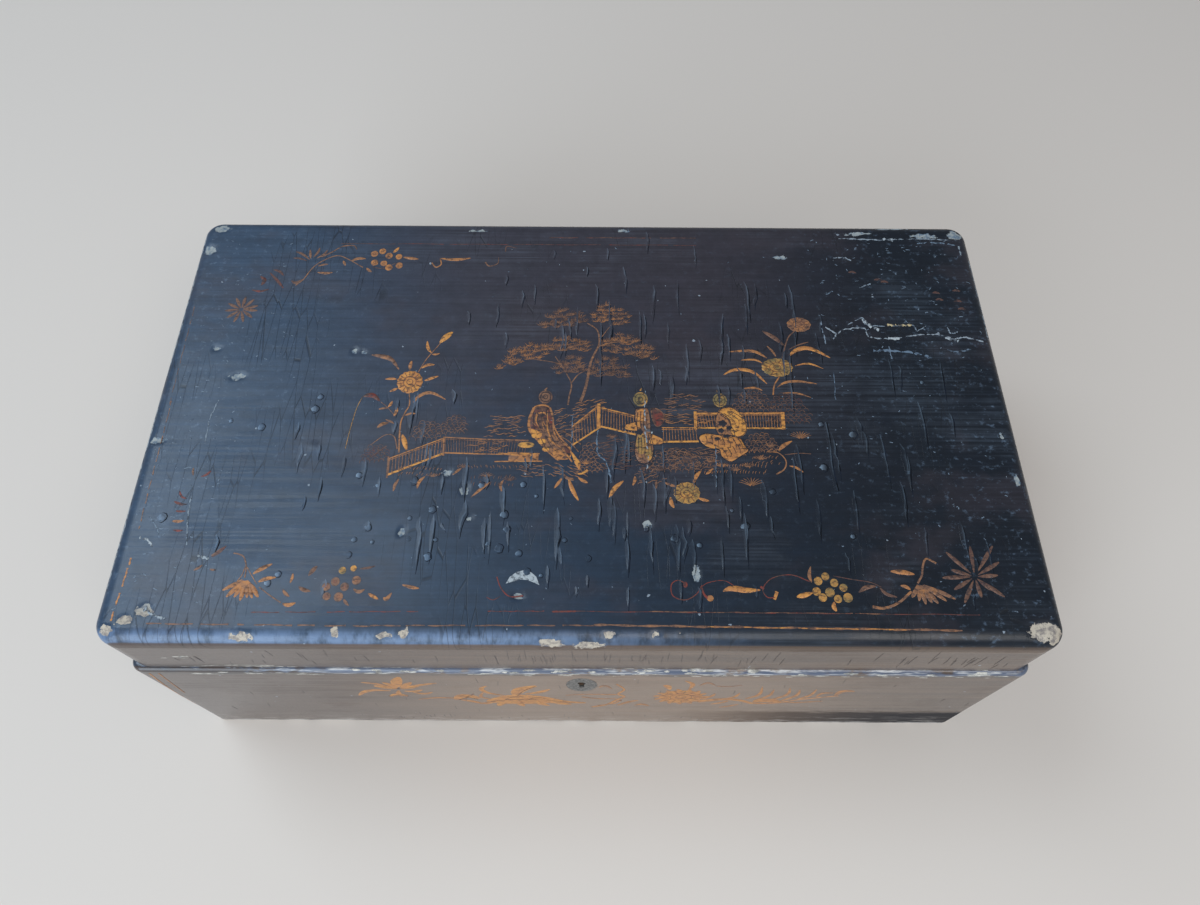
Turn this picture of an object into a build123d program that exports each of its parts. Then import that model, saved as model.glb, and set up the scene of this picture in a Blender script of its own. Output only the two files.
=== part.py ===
from build123d import *
import os
from math import cos, radians, sin

os.makedirs("parts", exist_ok=True)

# A lacquered wooden work box, in millimetres. The front faces -Y and the box stands on Z = 0.

# Case: four dovetailed boards round a bottom that is let into their lower edges
case_width = 421.0
case_depth = 240.0
seam_height = 109.0          # floor to the underside of the closed lid
seam_gap = 0.3               # what is left between the case and the closed lid
wall = 11.0
corner_radius = 6.0          # plan corners of the case
top_arris_radius = 2.5       # worn upper arris of the case
foot_arris = 1.2             # worn lower arris of the case
bottom_thickness = 9.0
bottom_lap = 5.0             # how far the bottom reaches into each wall
case_tail_count = 4
tail_share = 0.5             # width of a tail at its root, as a share of the tail spacing
tail_slope = 1 / 7           # flare of a dovetail, side for length

# Bamboo pegs that hold the bottom
peg_radius = 1.6             # to the corners of the whittled, eight-sided peg
peg_side_count = 8
peg_length = 24.0
peg_edge = 2.6               # peg centre to the edge of the bottom
long_side_peg_count = 3
short_side_peg_count = 2
peg_end_margin = 40.0

# Lid: a thick top on four rails, set back a little behind the case front
lid_height = 41.0
lid_top_thickness = 10.0
lid_front_setback = 2.0
lid_end_setback = 0.5
lid_corner_radius = 10.0      # plan corners of the lid, rubbed rounder than the case's
lid_round_over = 7.0         # rounded upper edge all round
lid_rim_arris = 0.8          # slightly rounded lower edge
lid_tail_count = 1

# Butt hinges let in flush at the back; the bevelled back edges are the stop
lid_open_angle = 95.0
bevel_clearance = 0.2        # each bevel stands this far off the hinge axis
hinge_inset = 2.6            # hinge axis to the back face
hinge_end_inset = 85.5       # end of the box to the middle of a hinge
hinge_length = 46.0
hinge_leaf_width = 8.0       # hinge axis to the front edge of a leaf
leaf_thickness = 1.3
barrel_radius = 2.3
hinge_pin_radius = 1.0
pin_clearance = 0.05
knuckle_count = 5
knuckle_gap = 0.3
barrel_groove = 0.4          # clearance of the groove that the barrel lies in
let_in = 0.1                 # clearance round a piece that is let into wood
hinge_screw_pitch = 26.0
hinge_screw_edge = 3.0       # screw centre to the front edge of a leaf

# Countersunk wood screws
screw_head_radius = 2.0
screw_head_depth = 1.1
screw_shank_radius = 0.9
screw_length = 9.0
screw_side_count = 14
screw_clearance = 0.06

# Box lock in the front wall: an L-shaped plate, a cap, and a bolt with two prongs
lock_width = 64.0
lock_height = 38.0
lock_plate_thickness = 1.4
cap_width = 52.0
cap_height = 30.0
cap_depth = 6.2
cap_wall = 1.0
lock_screw_edge = 3.0
key_pin_drop = 20.0          # seam down to the pin that the key turns on
key_pin_radius = 1.0
key_pin_reach = 1.4          # how far the pin ends behind the front face
keyhole_radius = 2.0
keyhole_slot = 2.4
keyhole_height = 10.0
bolt_thickness = 1.6
bolt_height = 7.5
bolt_throw = 5.0
bolt_tail = 3.0              # bar behind the first finger
bolt_nose = 8.0              # bar beyond the second finger
talon_width = 6.0            # notch that the key pushes
talon_depth = 4.0
prong_height = 2.8
prong_length = 4.8
prong_tip_gap = 0.8          # prong to staple when the bolt is drawn back
finger_width = 3.0
stump_radius = 1.2
stump_clearance = 0.3
stump_offset = 10.0          # stump to the key pin, sideways

# Link plate in the lid, with two staples that drop into the lock
link_plate_width = 56.0
staple_spacing = 24.0
staple_strip = 4.0           # width of the staple's strip
staple_leg = 1.0             # thickness of the staple's strip
staple_bar = 1.2
staple_side_gap = 0.4        # prong to leg
staple_end_gap = 0.5         # prong to the bar under it
staple_slot_gap = 0.6        # staple to the slot in the lock plate

# Oval escutcheon let into the front
escutcheon_width = 15.0
escutcheon_height = 25.0
escutcheon_thickness = 1.0
escutcheon_sink = 0.2
escutcheon_pin_radius = 0.7
escutcheon_pin_edge = 1.9
escutcheon_pin_length = 3.0

# Lift-out tray on two bearers
tray_height = 32.0
tray_below_rim = 4.7         # case rim down to the top of the tray
tray_side_gap = 0.6
tray_board = 5.0
tray_bottom_thickness = 4.0
tray_edge_radius = 1.2
divider_board = 4.0
divider_drop = 3.0           # tray rim down to the top of a divider
middle_bay_width = 170.0
front_row_depth = 62.0       # front row of compartments in the outer bays
middle_row_depth = 96.0      # front compartment of the middle bay
knob_radius = 3.6
knob_height = 8.0
knob_neck_radius = 1.5
knob_foot_radius = 1.9
knob_button_low = 3.4        # underside of the button
knob_button_edge = 5.4       # where the button is widest
knob_top_radius = 2.4
bearer_width = 7.0
bearer_height = 10.0
bearer_end_gap = 8.0
bearer_gap = 0.3             # bearer to the tray that rests over it

# Levels and faces that several pieces share
cut_past = 1.0               # how far a cut runs past an open face
level_tolerance = 0.01       # how far an edge may lie from the height it is looked for at
case_top = seam_height - seam_gap
half_width = case_width / 2
half_depth = case_depth / 2
inner_x = half_width - wall
inner_y = half_depth - wall
rail_top = seam_height + lid_height - lid_top_thickness
lid_half_width = half_width - lid_end_setback
lid_front = -half_depth + lid_front_setback
hinge_y = half_depth - hinge_inset
hinge_z = (case_top + seam_height) / 2
key_pin_z = seam_height - key_pin_drop
tray_top = case_top - tray_below_rim
tray_floor = tray_top - tray_height


def span(x_low, x_high, y_low, y_high, z_low, z_high):
    """A block between two limits along each axis"""
    size = (x_high - x_low, y_high - y_low, z_high - z_low)
    middle = ((x_low + x_high) / 2, (y_low + y_high) / 2, (z_low + z_high) / 2)
    return Pos(*middle) * Box(*size)


def rod(radius, start, end):
    """A round rod from one point to another"""
    line = Vector(*end) - Vector(*start)
    return Plane(origin=start, z_dir=line) * Cylinder(
        radius, line.length, align=(Align.CENTER, Align.CENTER, Align.MIN)
    )


def plan_prism(x_half, y_low, y_high, z_low, z_high, radius):
    """An upright block with rounded plan corners"""
    plan = RectangleRounded(2 * x_half, y_high - y_low, radius)
    return Pos(0, (y_low + y_high) / 2, z_low) * extrude(plan, z_high - z_low)


def edges_at(solid, height):
    """The edges of a block that lie wholly at one height"""
    low, high = height - level_tolerance, height + level_tolerance
    return solid.edges().filter_by_position(Axis.Z, low, high)


def save(shape, node):
    """Write one node to its own file"""
    export_step(shape, f"parts/{node}.step")


# Outer form of the case, with its worn arrises; every board is a slice of it
case_form = plan_prism(half_width, -half_depth, half_depth, 0, case_top, corner_radius)
case_form = fillet(edges_at(case_form, case_top), top_arris_radius)
case_form = chamfer(edges_at(case_form, 0), foot_arris)

# Outer form of the lid: plan corners, a slight arris below and a round-over all round above
lid_top = seam_height + lid_height
lid_form = plan_prism(lid_half_width, lid_front, half_depth, seam_height, lid_top, lid_corner_radius)
lid_form = fillet(edges_at(lid_form, seam_height), lid_rim_arris)
lid_form = fillet(edges_at(lid_form, lid_top), lid_round_over)


def bevel_cut(side):
    """The wedge planed off a back edge, side +1 for the case and -1 for the lid above it.

    Its face passes just inside the hinge axis at half the opening angle, so that the two
    bevels come together when the lid stands open.
    """
    half_angle = radians(lid_open_angle / 2)
    outward = Vector(0, sin(half_angle), side * cos(half_angle))
    axis_point = Vector(0, hinge_y, hinge_z)
    reach = 6 * hinge_inset
    plane = Plane(origin=axis_point - outward * bevel_clearance, x_dir=(1, 0, 0), z_dir=outward)
    block = Box(2 * case_width, 2 * reach, reach, align=(Align.CENTER, Align.CENTER, Align.MIN))
    return plane * block


case_bevel = bevel_cut(1)
lid_bevel = bevel_cut(-1)


def tails(x_inner, x_outer, y_low, y_high, z_low, z_high, count):
    """Dovetail tails at one corner: wedges that widen outwards, from front to back of a board"""
    pitch = (z_high - z_low) / count
    root = pitch * tail_share / 2
    tip = root + abs(x_outer - x_inner) * tail_slope
    shapes = []
    for i in range(count):
        z = z_low + (i + 0.5) * pitch
        outline = Polyline(
            (x_inner, z - root), (x_outer, z - tip), (x_outer, z + tip), (x_inner, z + root), close=True
        )
        section = Plane.XZ * make_face(outline)
        shapes.append(Pos(0, y_high, 0) * extrude(section, y_high - y_low))
    return shapes


def tailed_board(x_inner, x_outer, y_low, y_high, z_low, z_high, count):
    """A front or back board: plain between the corners, with tails at both ends"""
    board = span(-x_inner, x_inner, y_low, y_high, z_low, z_high)
    for side in (-1, 1):
        board = board + tails(side * x_inner, side * x_outer, y_low, y_high, z_low, z_high, count)
    return board


def pinned_board(side, x_inner, x_outer, depths, z_low, z_high, count):
    """An end board: full depth, cut away wherever a tail of the front or back board passes"""
    front_outer, front_inner, back_inner, back_outer = depths
    x_limits = sorted((side * x_inner, side * x_outer))
    board = span(*x_limits, front_outer, back_outer, z_low, z_high)
    for y_low, y_high in ((front_outer, front_inner), (back_inner, back_outer)):
        board = board - tails(side * x_inner, side * x_outer, y_low, y_high, z_low, z_high, count)
    return board


def screw(x, y, z, up, grow=0.0):
    """A countersunk screw with its head at z, pointing up (+1) or down (-1); grow makes its hole.

    Screw and hole share the same many-sided section, so the small fasteners stay light.
    """
    head = screw_head_radius + grow
    shank = screw_shank_radius + grow
    tip = screw_length + grow
    head_ring = RegularPolygon(head, screw_side_count)
    shank_ring = RegularPolygon(shank, screw_side_count)
    cone = loft([head_ring, Pos(0, 0, screw_head_depth) * shank_ring], ruled=True)
    body = cone + Pos(0, 0, screw_head_depth) * extrude(shank_ring, tip - screw_head_depth)
    if up < 0:
        body = mirror(body, Plane.XY)
    return Pos(x, y, z) * body


def screw_into_wall(x, y, z, grow=0.0):
    """The same screw lying along -Y, into the inside of the front wall"""
    return Pos(x, y, z) * Rot(90, 0, 0) * screw(0, 0, 0, 1, grow)


def keyhole(y_low, y_high, grow=0.0):
    """A keyhole: a round head over a straight slot, cut from front to back"""
    slot_low = key_pin_z + keyhole_radius - keyhole_height - grow
    slot = span(-keyhole_slot / 2 - grow, keyhole_slot / 2 + grow, y_low, y_high, slot_low, key_pin_z)
    return slot + rod(keyhole_radius + grow, (0, y_low, key_pin_z), (0, y_high, key_pin_z))


# Hinges: leaf, knuckles and pin, each leaf let in flush with its own edge
hinge_x = half_width - hinge_end_inset
hinge_places = {"left": -hinge_x, "right": hinge_x}
leaf_front = hinge_y - hinge_leaf_width
knuckle_front = hinge_y - barrel_radius - barrel_groove
knuckle_pitch = (hinge_length + knuckle_gap) / knuckle_count
screw_offsets = (-hinge_screw_pitch / 2, hinge_screw_pitch / 2)


def leaf_levels(upper, clearance=0.0):
    """Bottom and top of a leaf, the upper one in the lid and the lower one in the case"""
    if upper:
        return seam_height, seam_height + leaf_thickness + clearance
    return case_top - leaf_thickness - clearance, case_top


def leaf_screws(x, upper, grow=0.0):
    """The two screws of one leaf, their heads flush with it"""
    level = seam_height if upper else case_top
    y = leaf_front + hinge_screw_edge
    return [screw(x + offset, y, level, 1 if upper else -1, grow) for offset in screw_offsets]


def hinge_leaf(x, upper):
    """One leaf: a plate with every other knuckle, bored for the pin"""
    low, high = leaf_levels(upper)
    leaf = span(x - hinge_length / 2, x + hinge_length / 2, leaf_front, knuckle_front, low, high)
    first = 1 if upper else 0
    for i in range(first, knuckle_count, 2):
        start = x - hinge_length / 2 + i * knuckle_pitch
        end = start + knuckle_pitch - knuckle_gap
        leaf = leaf + span(start, end, knuckle_front, hinge_y, low, high)
        leaf = leaf + rod(barrel_radius, (start, hinge_y, hinge_z), (end, hinge_y, hinge_z))
    bore_start = (x - hinge_length, hinge_y, hinge_z)
    bore_end = (x + hinge_length, hinge_y, hinge_z)
    leaf = leaf - rod(hinge_pin_radius + pin_clearance, bore_start, bore_end)
    return leaf - leaf_screws(x, upper, screw_clearance)


def hinge_recess(x, upper):
    """What is cut from the wood for one leaf, its screws and the barrel"""
    low, high = leaf_levels(upper, let_in)
    margin = hinge_length / 2 + let_in
    housing = span(x - margin, x + margin, leaf_front - let_in, hinge_y, low, high)
    groove_start = (x - margin - barrel_groove, hinge_y, hinge_z)
    groove_end = (x + margin + barrel_groove, hinge_y, hinge_z)
    groove = rod(barrel_radius + barrel_groove, groove_start, groove_end)
    return [housing, groove] + leaf_screws(x, upper, screw_clearance)


# Box lock: its faces follow the inside of the front wall and the rim
lock_back = -inner_y
plate_front = lock_back - lock_plate_thickness
cap_front = plate_front - cap_depth
selvedge_under = case_top - lock_plate_thickness
cap_floor = selvedge_under - cap_height
mechanism_y = plate_front - (cap_depth - cap_wall) / 2
staple_places = (-staple_spacing / 2, staple_spacing / 2)
prong_low = selvedge_under - staple_end_gap - staple_bar - prong_height
staple_half_depth = bolt_thickness / 2 + staple_side_gap + staple_leg
bolt_top = prong_low - staple_end_gap - staple_bar - staple_end_gap
bolt_low = bolt_top - bolt_height
stump_z = (bolt_top + bolt_low) / 2


def lock_screw_places():
    """The four corners of the lock plate where its screws stand"""
    x = lock_width / 2 - lock_screw_edge
    rows = (case_top - lock_height + lock_screw_edge, selvedge_under - 2 * lock_screw_edge)
    return [(side * x, lock_back, z) for side in (-1, 1) for z in rows]


def lock_screws(grow=0.0):
    """The lock's four screws"""
    return [screw_into_wall(x, y, z, grow) for x, y, z in lock_screw_places()]


def staple_slots():
    """The two holes in the lock plate's top that the staples drop through"""
    x_half = staple_strip / 2 + staple_slot_gap
    y_half = staple_half_depth + staple_slot_gap / 2
    return [
        span(x - x_half, x + x_half, mechanism_y - y_half, mechanism_y + y_half, cap_floor, seam_height)
        for x in staple_places
    ]


def lock_plate():
    """Back plate inside the box and the narrow selvedge on the rim, bent from one sheet"""
    half = lock_width / 2
    back = span(-half, half, plate_front, lock_back, case_top - lock_height, case_top)
    selvedge = span(-half, half, cap_front, lock_back, selvedge_under, case_top)
    return (back + selvedge) - staple_slots() - lock_screws(screw_clearance)


def lock_cap():
    """The shallow case over the mechanism, open towards the plate and the selvedge"""
    half = cap_width / 2
    cap = span(-half, half, cap_front, plate_front, cap_floor, selvedge_under)
    cap = cap - span(
        -half + cap_wall, half - cap_wall, cap_front + cap_wall, plate_front, cap_floor + cap_wall, seam_height
    )
    return cap - keyhole(cap_front - cut_past, plate_front)


def lock_recess():
    """What is cut from the front wall for the lock"""
    plate_half = lock_width / 2 + let_in
    cap_half = cap_width / 2 + let_in
    plate_low = case_top - lock_height - let_in
    plate_room = span(-plate_half, plate_half, plate_front - let_in, lock_back, plate_low, seam_height)
    selvedge_room = span(
        -plate_half, plate_half, cap_front - let_in, lock_back, selvedge_under - let_in, seam_height
    )
    cap_room = span(-cap_half, cap_half, cap_front - let_in, lock_back, cap_floor - let_in, seam_height)
    return [plate_room, selvedge_room, cap_room] + lock_screws(screw_clearance)


def lock_bolt():
    """The sliding bolt: a bar with a talon notch, a guide slot, and two prongs on fingers"""
    y_low = mechanism_y - bolt_thickness / 2
    y_high = mechanism_y + bolt_thickness / 2
    prong_tips = [x - staple_strip / 2 - prong_tip_gap for x in staple_places]
    bar_start = prong_tips[0] - prong_length - finger_width - bolt_tail + finger_width / 2
    bar_end = prong_tips[1] + bolt_nose - prong_length / 2
    bolt = span(bar_start, bar_end, y_low, y_high, bolt_low, bolt_top)
    for tip in prong_tips:
        root = tip - prong_length
        bolt = bolt + span(root - finger_width, root, y_low, y_high, bolt_top, prong_low + prong_height)
        bolt = bolt + span(root, tip, y_low, y_high, prong_low, prong_low + prong_height)
    talon = span(-talon_width / 2, talon_width / 2, y_low, y_high, bolt_low, bolt_low + talon_depth)
    slot_end = -stump_offset + stump_radius + stump_clearance
    slot_start = -stump_offset - bolt_throw - stump_radius - stump_clearance
    slot_half = stump_radius + stump_clearance
    slot = span(slot_start, slot_end, y_low, y_high, stump_z - slot_half, stump_z + slot_half)
    return bolt - talon - slot


def staple(x):
    """One staple: a strip bent into a loop that opens sideways, for the prong to pass"""
    low = prong_low - staple_end_gap - staple_bar
    half = staple_strip / 2
    loop = span(
        x - half, x + half, mechanism_y - staple_half_depth, mechanism_y + staple_half_depth, low, seam_height
    )
    inside = staple_half_depth - staple_leg
    inside_top = prong_low + prong_height + staple_end_gap
    hole = span(
        x - half, x + half, mechanism_y - inside, mechanism_y + inside, low + staple_bar, inside_top
    )
    return loop - hole


link_screw_places = [(side * (link_plate_width / 2 - lock_screw_edge), mechanism_y) for side in (-1, 1)]


def link_screws(grow=0.0):
    """The two screws of the link plate"""
    return [screw(x, y, seam_height, 1, grow) for x, y in link_screw_places]


def link_plate():
    """The plate in the lid's front rail with both staples"""
    half = link_plate_width / 2
    plate = span(-half, half, cap_front, lock_back, seam_height, seam_height + lock_plate_thickness)
    for x in staple_places:
        plate = plate + staple(x)
    return plate - link_screws(screw_clearance)


def link_recess():
    """What is cut from the lid's front rail for the link plate"""
    half = link_plate_width / 2 + let_in
    room = span(
        -half, half, cap_front - let_in, lock_back, seam_height, seam_height + lock_plate_thickness + let_in
    )
    return [room] + link_screws(screw_clearance)


# Escutcheon: an oval plate that the keyhole pierces, a hair below the lacquer
oval_z = key_pin_z + keyhole_radius - keyhole_height / 2
oval_face = -half_depth + escutcheon_sink
oval_recess_depth = cut_past + escutcheon_sink + escutcheon_thickness + let_in


def oval(depth, front, grow=0.0):
    """An upright oval block standing back from its front face"""
    outline = Ellipse(escutcheon_width / 2 + grow, escutcheon_height / 2 + grow)
    return Pos(0, front, oval_z) * extrude(Plane.XZ * outline, -depth)


def escutcheon_pins(grow=0.0):
    """Two small pins, at the top and the bottom of the oval"""
    rise = escutcheon_height / 2 - escutcheon_pin_edge
    return [
        rod(
            escutcheon_pin_radius + grow,
            (0, oval_face, oval_z + side * rise),
            (0, oval_face + escutcheon_pin_length, oval_z + side * rise),
        )
        for side in (-1, 1)
    ]


# Pegs: rows along the four edges of the bottom, driven up into the walls
bottom_half_x = inner_x + bottom_lap
bottom_half_y = inner_y + bottom_lap


def even(low, high, count):
    """Evenly spaced places from low to high"""
    return [low + (high - low) * i / (count - 1) for i in range(count)]


def pegs():
    """All the bamboo pegs under the box"""
    long_half = bottom_half_x - peg_end_margin
    short_half = bottom_half_y - peg_end_margin
    places = [(x, side * (bottom_half_y - peg_edge)) for side in (-1, 1)
              for x in even(-long_half, long_half, long_side_peg_count)]
    places += [(side * (bottom_half_x - peg_edge), y) for side in (-1, 1)
               for y in even(-short_half, short_half, short_side_peg_count)]
    section = RegularPolygon(peg_radius, peg_side_count)
    return [Pos(x, y, 0) * extrude(section, peg_length) for x, y in places]


# Case boards
peg_group = pegs()
bottom_board = span(-bottom_half_x, bottom_half_x, -bottom_half_y, bottom_half_y, 0, bottom_thickness)
front_cuts = lock_recess() + escutcheon_pins(screw_clearance) + [
    keyhole(-half_depth - cut_past, plate_front),
    oval(oval_recess_depth, -half_depth - cut_past, let_in),
]
back_cuts = [case_bevel] + [cut for x in hinge_places.values() for cut in hinge_recess(x, False)]
case_depths = (-half_depth, -inner_y, inner_y, half_depth)

case_front = tailed_board(inner_x, half_width, -half_depth, -inner_y, 0, case_top, case_tail_count)
case_front = (case_front & case_form) - bottom_board - peg_group - front_cuts
save(case_front, "case_front_board")

case_back = tailed_board(inner_x, half_width, inner_y, half_depth, 0, case_top, case_tail_count)
case_back = (case_back & case_form) - bottom_board - peg_group - back_cuts
save(case_back, "case_back_board")

for name, side in (("left", -1), ("right", 1)):
    end = pinned_board(side, inner_x, half_width, case_depths, 0, case_top, case_tail_count)
    end = (end & case_form) - bottom_board - peg_group - case_bevel
    save(end, f"case_{name}_end")

save(bottom_board - peg_group, "case_bottom_board")
save(Compound(peg_group), "bottom_board_pegs")

# Bearers glued to the ends, just under the tray
bearer_half = inner_y - bearer_end_gap
bearer_top = tray_floor - bearer_gap
for name, side in (("left", -1), ("right", 1)):
    x_limits = sorted((side * inner_x, side * (inner_x - bearer_width)))
    bearer = span(*x_limits, -bearer_half, bearer_half, bearer_top - bearer_height, bearer_top)
    save(bearer, f"tray_bearer_{name}")

# Lid: panel and rails are slices of the one rounded form
panel = lid_form & span(-half_width, half_width, -half_depth, half_depth, rail_top, lid_top)
save(panel, "lid_top_panel")

lid_depths = (lid_front, -inner_y, inner_y, half_depth)
lid_front_rail = tailed_board(
    inner_x, lid_half_width, lid_front, -inner_y, seam_height, rail_top, lid_tail_count
)
save((lid_front_rail & lid_form) - link_recess(), "lid_front_rail")

lid_back_rail = tailed_board(
    inner_x, lid_half_width, inner_y, half_depth, seam_height, rail_top, lid_tail_count
)
lid_back_cuts = [lid_bevel] + [cut for x in hinge_places.values() for cut in hinge_recess(x, True)]
save((lid_back_rail & lid_form) - lid_back_cuts, "lid_back_rail")

for name, side in (("left", -1), ("right", 1)):
    rail = pinned_board(side, inner_x, lid_half_width, lid_depths, seam_height, rail_top, lid_tail_count)
    save((rail & lid_form) - lid_bevel, f"lid_{name}_rail")

# Hinges
for name, x in hinge_places.items():
    save(hinge_leaf(x, False), f"hinge_lower_leaf_{name}")
    save(hinge_leaf(x, True), f"hinge_upper_leaf_{name}")
    pin_half = hinge_length / 2
    pin = rod(hinge_pin_radius, (x - pin_half, hinge_y, hinge_z), (x + pin_half, hinge_y, hinge_z))
    save(pin, f"hinge_pin_{name}")
save(Compound([s for x in hinge_places.values() for s in leaf_screws(x, False)]), "hinge_lower_screws")
save(Compound([s for x in hinge_places.values() for s in leaf_screws(x, True)]), "hinge_upper_screws")

# Lock
save(lock_plate(), "lock_plate")
save(lock_cap(), "lock_cap")
save(lock_bolt(), "lock_bolt")
save(Compound(lock_screws()), "lock_screws")
key_pin_end = -half_depth + key_pin_reach
save(rod(key_pin_radius, (0, plate_front, key_pin_z), (0, key_pin_end, key_pin_z)), "lock_key_pin")
stump = rod(stump_radius, (-stump_offset, plate_front, stump_z), (-stump_offset, cap_front + cap_wall, stump_z))
save(stump, "lock_bolt_stump")
save(link_plate(), "link_plate")
save(Compound(link_screws()), "link_plate_screws")

# Escutcheon
escutcheon = oval(escutcheon_thickness, oval_face) - keyhole(-half_depth - cut_past, lock_back)
save(escutcheon - escutcheon_pins(screw_clearance), "escutcheon")
save(Compound(escutcheon_pins()), "escutcheon_pins")

# Tray: a nailed-on bottom, four sides, and dividers between them
tray_x = inner_x - tray_side_gap
tray_y = inner_y - tray_side_gap
side_low = tray_floor + tray_bottom_thickness
divider_top = tray_top - divider_drop
bay_x = middle_bay_width / 2
tray_inner_x = tray_x - tray_board
tray_inner_y = tray_y - tray_board


def tray_wall(x_low, x_high, y_low, y_high, top, radius):
    """A thin upright board with its upper edges rounded along its length"""
    board = span(x_low, x_high, y_low, y_high, side_low, top)
    along = Axis.X if x_high - x_low > y_high - y_low else Axis.Y
    upper = edges_at(board, top).filter_by(along)
    return fillet(upper, radius)


save(span(-tray_x, tray_x, -tray_y, tray_y, tray_floor, side_low), "tray_bottom")
save(tray_wall(-tray_x, tray_x, -tray_y, -tray_inner_y, tray_top, tray_edge_radius), "tray_front_side")
save(tray_wall(-tray_x, tray_x, tray_inner_y, tray_y, tray_top, tray_edge_radius), "tray_back_side")
for name, side in (("left", -1), ("right", 1)):
    x_limits = sorted((side * tray_x, side * tray_inner_x))
    end = tray_wall(*x_limits, -tray_inner_y, tray_inner_y, tray_top, tray_edge_radius)
    save(end, f"tray_{name}_end")
    x_limits = sorted((side * bay_x, side * (bay_x + divider_board)))
    bay_wall = tray_wall(*x_limits, -tray_inner_y, tray_inner_y, divider_top, tray_edge_radius)
    save(bay_wall, f"tray_{name}_bay_wall")
    x_limits = sorted((side * (bay_x + divider_board), side * tray_inner_x))
    row_y = -tray_inner_y + front_row_depth
    row = tray_wall(*x_limits, row_y, row_y + divider_board, divider_top, tray_edge_radius)
    save(row, f"tray_{name}_row_divider")
middle_y = -tray_inner_y + middle_row_depth
middle_row = tray_wall(-bay_x, bay_x, middle_y, middle_y + divider_board, divider_top, tray_edge_radius)
save(middle_row, "tray_middle_row_divider")


def knob(x):
    """A small turned knob on a bay wall: a flared foot, a neck and a bevelled button, from one profile"""
    profile = Polyline(
        (0, 0),
        (knob_foot_radius, 0),
        (knob_neck_radius, knob_button_low),
        (knob_radius, knob_button_edge),
        (knob_top_radius, knob_height),
        (0, knob_height),
        close=True,
    )
    return Pos(x, 0, divider_top) * revolve(Plane.XZ * make_face(profile), Axis.Z)


knob_x = bay_x + divider_board / 2
save(Compound([knob(-knob_x), knob(knob_x)]), "tray_knobs")

print("hinge axis at y, z:", hinge_y, hinge_z)
print("room over the tray's knobs under the closed lid:", rail_top - divider_top - knob_height)
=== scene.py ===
from math import cos, pi, radians, sin

import bmesh
import bpy
import numpy as np
from mathutils import Matrix, Vector


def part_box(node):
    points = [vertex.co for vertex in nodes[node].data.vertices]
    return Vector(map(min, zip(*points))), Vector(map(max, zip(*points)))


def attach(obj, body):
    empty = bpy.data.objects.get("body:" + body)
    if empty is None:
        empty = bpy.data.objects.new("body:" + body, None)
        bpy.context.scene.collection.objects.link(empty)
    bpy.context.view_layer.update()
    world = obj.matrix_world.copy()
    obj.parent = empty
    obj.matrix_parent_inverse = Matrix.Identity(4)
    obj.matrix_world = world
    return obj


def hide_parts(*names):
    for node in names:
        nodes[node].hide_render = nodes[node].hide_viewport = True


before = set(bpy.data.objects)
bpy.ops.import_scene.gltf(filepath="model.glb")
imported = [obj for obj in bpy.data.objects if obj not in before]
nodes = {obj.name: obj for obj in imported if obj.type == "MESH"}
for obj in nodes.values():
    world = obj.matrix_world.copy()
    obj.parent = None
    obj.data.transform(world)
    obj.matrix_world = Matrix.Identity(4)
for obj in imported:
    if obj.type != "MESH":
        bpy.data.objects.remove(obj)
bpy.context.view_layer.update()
mm = 0.001

# The room: the box was photographed by hand from above its front edge, looking well down at the lid.
# Here it stands on a pale floor under a pale sky, lit by three lamp panels: a cool one low in front on the
# left, a fainter one high behind it, whose sheen lies over the lid's left half, and a warm one in front.
picture_width = 1200
focal_in_pixels = 879.75
sensor_width = 36.0
eye = Vector((7.03, -224.58, 517.04)) * mm
look_down = radians(61.526)
look_right = radians(0.3494)
head_tilt = radians(0.636)
forward = Vector((sin(look_right) * cos(look_down), cos(look_right) * cos(look_down), -sin(look_down)))
level_right = Vector((cos(look_right), -sin(look_right), 0))
level_up = level_right.cross(forward)
camera_right = cos(head_tilt) * level_right + sin(head_tilt) * level_up
camera_up = cos(head_tilt) * level_up - sin(head_tilt) * level_right

camera = bpy.data.objects.new("camera", bpy.data.cameras.new("camera"))
camera.data.sensor_width = sensor_width
camera.data.lens = sensor_width * focal_in_pixels / picture_width
camera.data.clip_start = 0.01
camera_turn = Matrix((camera_right, camera_up, -forward)).transposed().to_4x4()
camera.matrix_world = Matrix.Translation(eye) @ camera_turn
bpy.context.scene.collection.objects.link(camera)
bpy.context.scene.camera = camera
bpy.context.scene.view_settings.view_transform = "Standard"


def colour(red, green, blue):
    """A colour as it is seen, 0 to 255 a channel, turned into the linear values that a shader takes."""
    seen = np.array([red, green, blue]) / 255
    linear = np.where(seen <= 0.04045, seen / 12.92, ((seen + 0.055) / 1.055) ** 2.4)
    return (*linear, 1.0)


def put(tree, kind, inputs=None, **settings):
    """Add a shader node, set it, and feed its inputs with numbers, colours or other nodes' sockets."""
    made = tree.nodes.new(kind)
    for key, value in settings.items():
        setattr(made, key, value)
    for key, value in (inputs or {}).items():
        if isinstance(value, bpy.types.NodeSocket):
            tree.links.new(value, made.inputs[key])
        else:
            made.inputs[key].default_value = value
    return made


def new_material(name):
    """A fresh material: itself, its node tree and its shader."""
    material = bpy.data.materials.new(name)
    material.use_nodes = True
    return material, material.node_tree, material.node_tree.nodes["Principled BSDF"]


def soft_panel(name, place, aim, size, watts, tint):
    """A square lamp panel of a given size in metres, facing a point."""
    lamp = bpy.data.lights.new(name, "AREA")
    lamp.shape = "SQUARE"
    lamp.size = size
    lamp.energy = watts
    lamp.color = tint
    panel = bpy.data.objects.new(name, lamp)
    panel.location = place
    panel.rotation_euler = (Vector(aim) - Vector(place)).to_track_quat("-Z", "Y").to_euler()
    bpy.context.scene.collection.objects.link(panel)


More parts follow.
